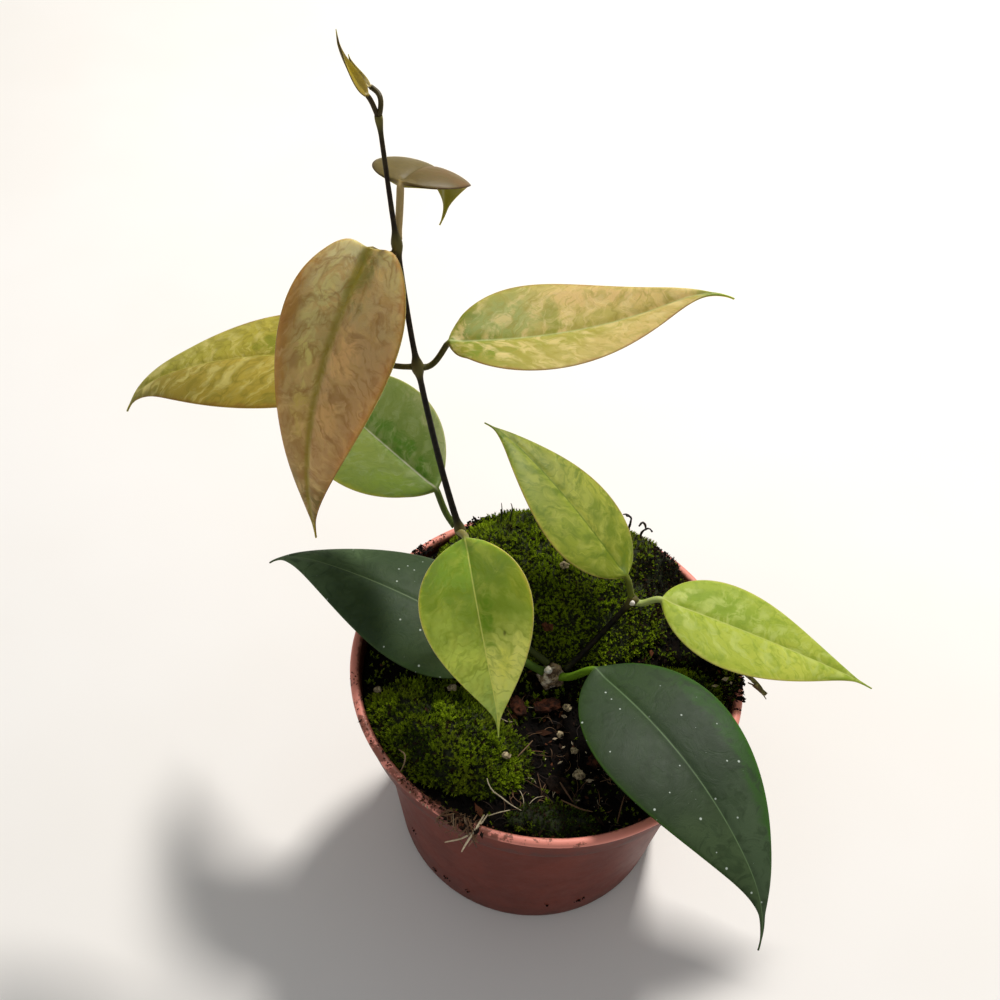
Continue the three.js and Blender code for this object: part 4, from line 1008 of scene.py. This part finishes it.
for seed, (node, leaf) in enumerate(leaf_table.items(), 1):
    leaf = {**usual_leaf, **leaf}
    blade = leaf_tube(node + "_blade", leaf, seed)
    blade.data.materials.append(leaf_finish(node + "_skin", seed, leaf))
    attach(blade, "root")
    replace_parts(blade, node)


# Bark chips and crumbs

# The top dressing of the mix: six larger chips of pine bark, brown to reddish, and loose
# crumbs of the same bark between them, all lying on the soil and in the gaps of the moss.
chip_bark = new_finish("bark_chip")
here = object_place()
layers = grain(here, 380.0, 6.0, 0.7)
kind = grain(here, 60.0, 1.0)
dark = blend(band(layers, 0.38, 0.65), (12, 8, 5), (44, 30, 19))
red = blend(band(layers, 0.38, 0.65), (26, 12, 7), (80, 42, 25))
tint = blend(band(kind, 0.45, 0.55), dark, red)
feed(shader, {"Base Color": tint, "Roughness": 0.9, "Specular IOR Level": 0.15,
              "Normal": bump(0.9, 0.0006, layers)})
for i in range(1, 7):
    chip = uneven_shape(f"bark_chip_{i}", f"bark_{i}", 4, 0.2, 1.6, 0.7)
    bpy.ops.object.shade_smooth_by_angle(angle=math.radians(40))
    chip.data.materials.append(chip_bark)
    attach(chip, "root")
    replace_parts(chip, f"bark_{i}")

crumb_bark = new_finish("crumb_bark")
here = object_place()
kind = carried("kind")
rind = grain(here, 900.0, 3.0)
tint = blend(band(kind, 0.5, 0.8), (9, 6, 4), (40, 26, 17))
tint = blend(band(kind, 0.82, 0.92), tint, (92, 54, 34))
tint = blend(band(kind, 0.98, 1.0), tint, (206, 190, 158))
tint = blend(times(band(rind, 0.5, 0.7), 0.4), tint, (24, 16, 11))
feed(shader, {"Base Color": tint, "Roughness": 0.9, "Specular IOR Level": 0.12})


crumb_corners = ((1, 0, 0), (0, 1, 0), (-1, 0, 0), (0, -1, 0), (0, 0, 1), (0, 0, -1))
crumb_sides = ((0, 1, 4), (1, 2, 4), (2, 3, 4), (3, 0, 4), (1, 0, 5), (2, 1, 5), (3, 2, 5),
               (0, 3, 5))
pale_grit, red_bark = 0.992, 0.93


def crumb_heap(name, crumbs):
    """Many eight-sided crumbs in one piece; each is its place, size and kind of bark."""
    points, faces, kinds = [], [], []
    for place, size, kind in crumbs:
        stretch = Vector((dice.uniform(0.7, 1.8), dice.uniform(0.6, 1.0), dice.uniform(0.35, 0.7)))
        spin = Matrix.Rotation(dice.uniform(0, 6.28), 3, "Z")
        spin = spin @ Matrix.Rotation(dice.uniform(-0.6, 0.6), 3, "X")
        faces += [tuple(len(points) + i for i in side) for side in crumb_sides]
        for way in crumb_corners:
            corner = Vector(way) * stretch * size * dice.uniform(0.7, 1.25)
            points.append(tuple((spin @ corner + Vector(place)) * mm))
            kinds.append(kind)
    heap = loose_piece(name, points, faces, "kind", kinds, crumb_bark)
    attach(heap, "root")


def wall_radius(z):
    """Radius of the pot's outer wall under its shoulder, at a height in millimetres."""
    return 45.3 + 0.1116 * z


def around(degrees, radius, z):
    return (radius * math.cos(math.radians(degrees)), radius * math.sin(math.radians(degrees)), z)


dice = random.Random(77)
crumb_count, crumb_edge = 1900, 54.8
crumbs = []
for i in range(crumb_count):
    x, y = somewhere_within(crumb_edge)
    size = dice.uniform(0.3, 0.9) if dice.random() < 0.86 else dice.uniform(0.9, 1.9)
    z = soil_level(x, y) + 0.9 * noise.noise(Vector((x, y, 3)) / 5) + 0.25 * size
    crumbs.append(((x, y, z), size, dice.random() * 0.97))
for i in range(34):
    x, y = dice.gauss(14, 9), dice.gauss(-31, 9)
    crumbs.append(((x, y, soil_level(x, y) + 1.2), dice.uniform(0.12, 0.32),
                   dice.uniform(0.985, 1.0)))
grit_spots = (
    (6.4, -13, 0.9), (3.6, -20.6, 0.7), (9, -21.4, 0.8), (6.4, -23, 0.6), (5.6, -28, 0.7),
    (10.8, -40, 0.9), (-1.2, -47.4, 0.7), (2.6, -48.4, 0.8), (20, -46.6, 0.7), (14.2, -33, 1.2),
)
for x, y, size in grit_spots:
    crumbs.append(((x, y, soil_level(x, y) + 1.2), size * 0.75, pale_grit))
for x, y, z, size in ((-1.4, 9.2, 91.4, 1.7), (0.2, 9, 91.2, 1.9), (-1, 8.2, 91, 1.4)):
    crumbs.append(((x, y, z), size, red_bark))
crumb_heap("soil_crumbs", crumbs)
litter = [((x, y, z + dice.uniform(0.4, 1.3)), dice.uniform(0.3, 0.8), dice.uniform(0.3, 0.86))
          for x, y, z in litter_spots]
crumb_heap("moss_litter", litter)

# Dirt on the pot: fine grains on the front left of the lip, then heaps, grit and splashes.
dirt = []
for i in range(190):
    degrees = dice.uniform(-172, -106) if dice.random() < 0.35 else dice.gauss(-122, 9)
    dirt.append((around(degrees, dice.uniform(57.2, 59.9), 86 + dice.uniform(-0.1, 0.4)),
                 dice.uniform(0.15, 0.42), dice.uniform(0.7, 0.97)))
for i in range(110):
    degrees = dice.gauss(-112.5, 3)
    dirt.append((around(degrees, dice.uniform(57.5, 61), dice.uniform(84.6, 87.4)),
                 dice.uniform(0.3, 0.8), dice.uniform(0.5, 0.97)))
# Each heap on the lip: how many crumbs, their bearing and its spread, the radii and heights
# they lie between, their sizes and how dark or pale they are.
heaps = (
    (170, 114, 4.0, 55.2, 59.6, 86.0, 87.6, 0.25, 0.75, 0.1, 0.72),
    (110, 138, 2.6, 55.5, 59.4, 85.9, 87.2, 0.25, 0.6, 0.1, 0.75),
    (45, 104, 3.0, 56.0, 59.2, 86.0, 87.2, 0.22, 0.5, 0.3, 0.85),
    (16, 130, 2.5, 57.4, 59.2, 85.9, 86.2, 0.2, 0.4, 0.5, 0.9),
    (60, 59, 3.0, 55.8, 58.6, 86.0, 87.0, 0.22, 0.5, 0.1, 0.8),
    (150, -4, 4.0, 54.0, 59.8, 85.6, 88.0, 0.3, 0.95, 0.1, 0.8),
    (24, -9, 4.0, 57.0, 60.4, 85.0, 86.4, 0.25, 0.6, 0.3, 0.9),
)
for count, middle, spread, near, far, low, high, small, large, dark, pale in heaps:
    for i in range(count):
        degrees = dice.gauss(middle, spread)
        share = dice.random() * max(0, 1 - abs(degrees - middle) / (2.2 * spread))
        dirt.append((around(degrees, dice.uniform(near, far), low + (high - low) * share),
                     dice.uniform(small, large), dice.uniform(dark, pale)))
lip_grit = (
    (53.8, -3.2, 88.2, 0.9), (51.2, -4.1, 85.2, 0.8), (55.5, -4.5, 88, 0.55),
    (-31.9, -51.2, 86.2, 0.45), (-33.1, -50.6, 86.2, 0.35), (-37.1, -47.2, 86.2, 0.4),
    (-40.7, -43.6, 86.2, 0.4),
)
for x, y, z, size in lip_grit:
    dirt.append(((x, y, z), size, pale_grit))
# The middles of the small splashes of soil on the outer wall.
wall_spots = (
    (-38.4, -28.5, 23.9), (-30.7, -34.2, 6.7), (-26.9, -37.7, 10.2), (-19.4, -42.2, 11.1),
    (7, -46.2, 13.6), (16.8, -43.4, 11.9), (18.4, -42.9, 13.1),
)
for x, y, z in wall_spots:
    for i in range(5):
        turn = math.degrees(math.atan2(y, x)) + dice.gauss(0, 0.7)
        spot_z = z + dice.gauss(0, 0.8)
        dirt.append((around(turn, wall_radius(spot_z), spot_z),
                     dice.uniform(0.2, 0.42), dice.uniform(0.2, 0.6)))
crumb_heap("rim_and_wall_dirt", dirt)


# Grit and threads

# Pale perlite grains in the mix and on the moss, loose root threads on the soil, roots and
# a twig that hang over the lip, and wiry fibres and moss stalks that stand up at the back.
grit = new_finish("perlite_grain")
here = object_place()
pits = grain(here, 1200.0, 4.0)
tint = blend(band(pits, 0.35, 0.6), (90, 74, 50), (190, 172, 134))
feed(shader, {"Base Color": tint, "Roughness": 0.85, "Normal": bump(0.8, 0.0003, pits)})
for i in range(1, 9):
    pebble = uneven_shape(f"perlite_grain_{i}", f"perlite_{i}", 2, 0.8, 0.95, 0.5)
    pebble.data.materials.append(grit)
    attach(pebble, "root")
    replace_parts(pebble, f"perlite_{i}")

root_skin = new_finish("root_skin")
here = object_place()
pale_share = carried("paleness")
streak = grain(here, 700.0, 4.0)
tint = blend(band(pale_share, 0.0, 0.55), (34, 21, 13), (118, 84, 52))
tint = blend(band(pale_share, 0.55, 1.0), tint, (222, 206, 170))
tint = blend(times(band(streak, 0.45, 0.65), 0.4), tint, (70, 46, 28))
feed(shader, {"Base Color": tint, "Roughness": 0.75})
dice = random.Random(31)


def root_strands(name, strands):
    """Thin roots in one piece: each has its points, its middle radius and its paleness."""
    steps = 10
    swell = [0.45 + 0.55 * math.sin(math.pi * (0.15 + 0.8 * i / steps)) for i in range(steps + 1)]
    line = round_lines(name, [(smooth_way([Vector(s) for s in stops], steps),
                               [thick * share for share in swell])
                              for stops, thick, pale in strands], 0)
    pales = [pale for stops, thick, pale in strands]
    # the mesh made from the curves holds the end caps first, from the last root to the first
    cap_points, side_points = 8, 4 * (steps + 1)
    paleness = np.concatenate([np.repeat(pales[::-1], cap_points), np.repeat(pales, side_points)])
    keep_values(line, "paleness", paleness)
    merge_and_turn_out()
    bpy.ops.object.shade_smooth()
    line.data.materials.append(root_skin)
    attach(line, "root")
    return line


# Each root that replaces a packed one: its points, its middle radius and how pale it is.
loose_roots = {
    "root_1": ([(-15.9, -41, 86), (-15.2, -42.8, 85.4), (-13.6, -44.4, 84.4), (-12.2, -44.7, 83.4),
                (-10.4, -45.3, 81.9), (-8.3, -46.2, 80.9), (-5.6, -47.3, 80.4)], 0.2, 1.0),
    "root_2": ([(-7.6, -30.2, 79.6), (-5.6, -27.9, 80.2), (-3.2, -24.8, 80.6)], 0.24, 0.62),
    "root_3": ([(5.8, -42.2, 78.6), (8.3, -43.7, 79.4), (11.5, -45, 79.4), (15, -45.2, 78.6)],
               0.26, 0.6),
    "root_4": ([(23.9, -40, 79.4), (22.9, -43.8, 79.8), (21.8, -48.4, 79)], 0.24, 0.42),
    "rim_root_1": ([(-15, -51.5, 85), (-17.2, -56.2, 87.3), (-20.6, -58.2, 84.4),
                    (-26.4, -56.6, 76.4)], 0.3, 0.85),
    "rim_root_2": ([(-16, -52, 85.4), (-18, -57, 87.2), (-20.4, -59.4, 82.4),
                    (-21.5, -58.6, 75.5)], 0.32, 0.9),
    "rim_root_3": ([(-18, -52, 85.2), (-20, -56.6, 87), (-22.6, -57.6, 83), (-21.2, -58.4, 79.4)],
                   0.28, 0.5),
}
for node, strand in loose_roots.items():
    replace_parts(root_strands(node + "_strand", [strand]), node)
strands = [
    ([(-14.8, -49.8, 80.6), (-12.1, -49, 81.4), (-8.7, -47.6, 80.8)], 0.2, 0.9),
    ([(-41.6, -34.7, 87.4), (-39.6, -37, 88.6), (-39.6, -39.3, 87.6), (-40.6, -40.8, 85.4)],
     0.22, 0.66),
    ([(5.2, -37.6, 80.4), (7.2, -41.5, 81.6), (9.1, -43.6, 80.4)], 0.3, 0.3),
]
# Fine roots that lie on the bare soil at the front, each a shallow arch that sweeps round.
for i in range(190):
    x, y = dice.uniform(-14, 38), dice.uniform(-51, -8)
    if math.hypot(x, y) > 52:
        continue
    turn, long = dice.uniform(0, 6.28), dice.uniform(1.6, 5)
    sweep = dice.gauss(0, 0.5)
    stops = []
    for k in range(4):
        arch = 0.7 * math.sin(math.pi * k / 3) * dice.uniform(0.3, 1.4)
        stops.append((x, y, soil_level(x, y) + 0.8 + arch))
        x, y = x + long / 2 * math.cos(turn), y + long / 2 * math.sin(turn)
        turn += sweep
        if math.hypot(x, y) > 55:
            x, y = x * 0.97, y * 0.97
    strands.append((stops, dice.uniform(0.06, 0.15),
                    dice.choice((0.0, 0.0, 0.1, 0.2, 0.3, 0.4, 0.5, 0.6, 0.85))))
root_strands("fine_roots_on_soil", strands)
# Roots that creep out of the soil and hang over the front left of the lip.
strands = []
for i in range(26):
    degrees = dice.gauss(-112, 3.0)
    aim = degrees + dice.gauss(0, 2.6)
    drop = dice.uniform(1, 8) * dice.random()
    strands.append(([around(degrees + dice.gauss(0, 1.5), dice.uniform(56.2, 57.8),
                            dice.uniform(85.2, 86.6)),
                     around(degrees, dice.uniform(58, 59.5), dice.uniform(86.8, 88.2)),
                     around(aim, 60.8 + dice.uniform(0, 1.2), 86.4 - 0.4 * drop),
                     around(aim + dice.gauss(0, 1.5), 60.8 + dice.uniform(0, 2.2), 85.8 - drop)],
                    dice.uniform(0.11, 0.24), dice.choice((0.25, 0.4, 0.5, 0.55, 0.6, 0.7))))
# The twig's two prongs, the hooks of the two fibres and the tips of the two moss stalks.
strands += [
    ([(61, -3.2, 86.9), (62.9, -3.9, 86.6), (64.8, -4.9, 86), (67, -5.6, 85.5)], 0.34, 0.45),
    ([(62.4, -4, 86.6), (64.4, -4.9, 85.6), (65.8, -5.9, 85), (66.8, -6.9, 84.2)], 0.3, 0.5),
    ([(25.3, 53, 94.2), (24.4, 53, 95.2), (23.6, 53, 95.6), (22.6, 53, 95.4)], 0.42, 0.05),
    ([(28.3, 51, 92.4), (29.2, 51, 94.5), (30.1, 51, 93.5), (30.7, 51, 91.2)], 0.46, 0.05),
    ([(-17, 49.2, 94), (-17.1, 49.3, 97), (-17.3, 49.4, 99.4), (-17.5, 49.4, 100.8)], 0.22, 0.12),
    ([(-14, 49.2, 94), (-13.8, 49.3, 97), (-14, 49.4, 99.6), (-14.4, 49.4, 101)], 0.22, 0.12),
]
root_strands("fine_roots_on_rim", strands)

threads = {
    "rim_twig": ((150, 140, 84), (98, 84, 44)),
    "fibre_1": ((36, 24, 15), (18, 12, 8)), "fibre_2": ((36, 24, 15), (18, 12, 8)),
    "moss_stalk_1": ((66, 78, 26), (44, 52, 18)), "moss_stalk_2": ((66, 78, 26), (44, 52, 18)),
}
for node, (light, dark) in threads.items():
    skin = new_finish(node + "_skin")
    here = object_place()
    streak = grain(here, 700.0, 4.0)
    tint = blend(band(streak, 0.4, 0.62), dark, light)
    feed(shader, {"Base Color": tint, "Roughness": 0.75, "Normal": bump(0.6, 0.0002, streak)})
    strand = uneven_shape(node + "_strand", node, 2, 0.6, 1.0, 0.14)
    strand.data.materials.append(skin)
    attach(strand, "root")
    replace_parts(strand, node)


# Floor, light and camera

# A plain pale floor, one soft key light high behind on the right, a weak fill from the
# front, and the camera where the plant was seen from: above and in front.
bpy.ops.object.select_all(action="DESELECT")
bpy.ops.mesh.primitive_plane_add(size=6, location=(0, 0, 0))
floor = bpy.context.object
floor.name = "floor"
floor_paint = new_finish("floor_paint")
here = object_place()
faint = grain(here, 3.0)
tint = blend(band(faint, 0.3, 0.7), (238, 233, 226), (243, 239, 234))
feed(shader, {"Base Color": tint, "Roughness": 0.7})
floor.data.materials.append(floor_paint)

for name, spot, size, power, colour in (
        ("key", (0.31, 0.83, 1.30), 0.20, 22.5, (1, 0.98, 0.95)),
        ("fill", (-0.9, -0.9, 1.1), 1.2, 1.5, (0.95, 0.97, 1.0))):
    bpy.ops.object.light_add(type="AREA", location=spot)
    lamp = bpy.context.object
    lamp.name = name
    lamp.data.size = size
    lamp.data.energy = power
    lamp.data.color = colour
    lamp.rotation_euler = (Vector((0, 0, 0.1)) - Vector(spot)).to_track_quat("-Z", "Y").to_euler()

air = bpy.data.worlds.new("studio_air")
air.use_nodes = True
sky = air.node_tree.nodes["Background"]
sky.inputs["Color"].default_value = (0.94, 0.97, 1.0, 1)
sky.inputs["Strength"].default_value = 0.34
bpy.context.scene.world = air
bpy.context.scene.view_settings.view_transform = "Standard"

bpy.ops.object.camera_add()
camera = bpy.context.object
camera.data.sensor_width = 36
camera.data.lens = 43.2
camera.data.clip_start = 0.01
eye, look_down, roll = (-18.0157, -204.8668, 393.6923), 48.9, 4.2
camera.matrix_world = (Matrix.Translation(Vector(eye) * mm)
                       @ Matrix.Rotation(math.radians(90 - look_down), 4, "X")
                       @ Matrix.Rotation(math.radians(roll), 4, "Z"))
bpy.context.scene.camera = camera
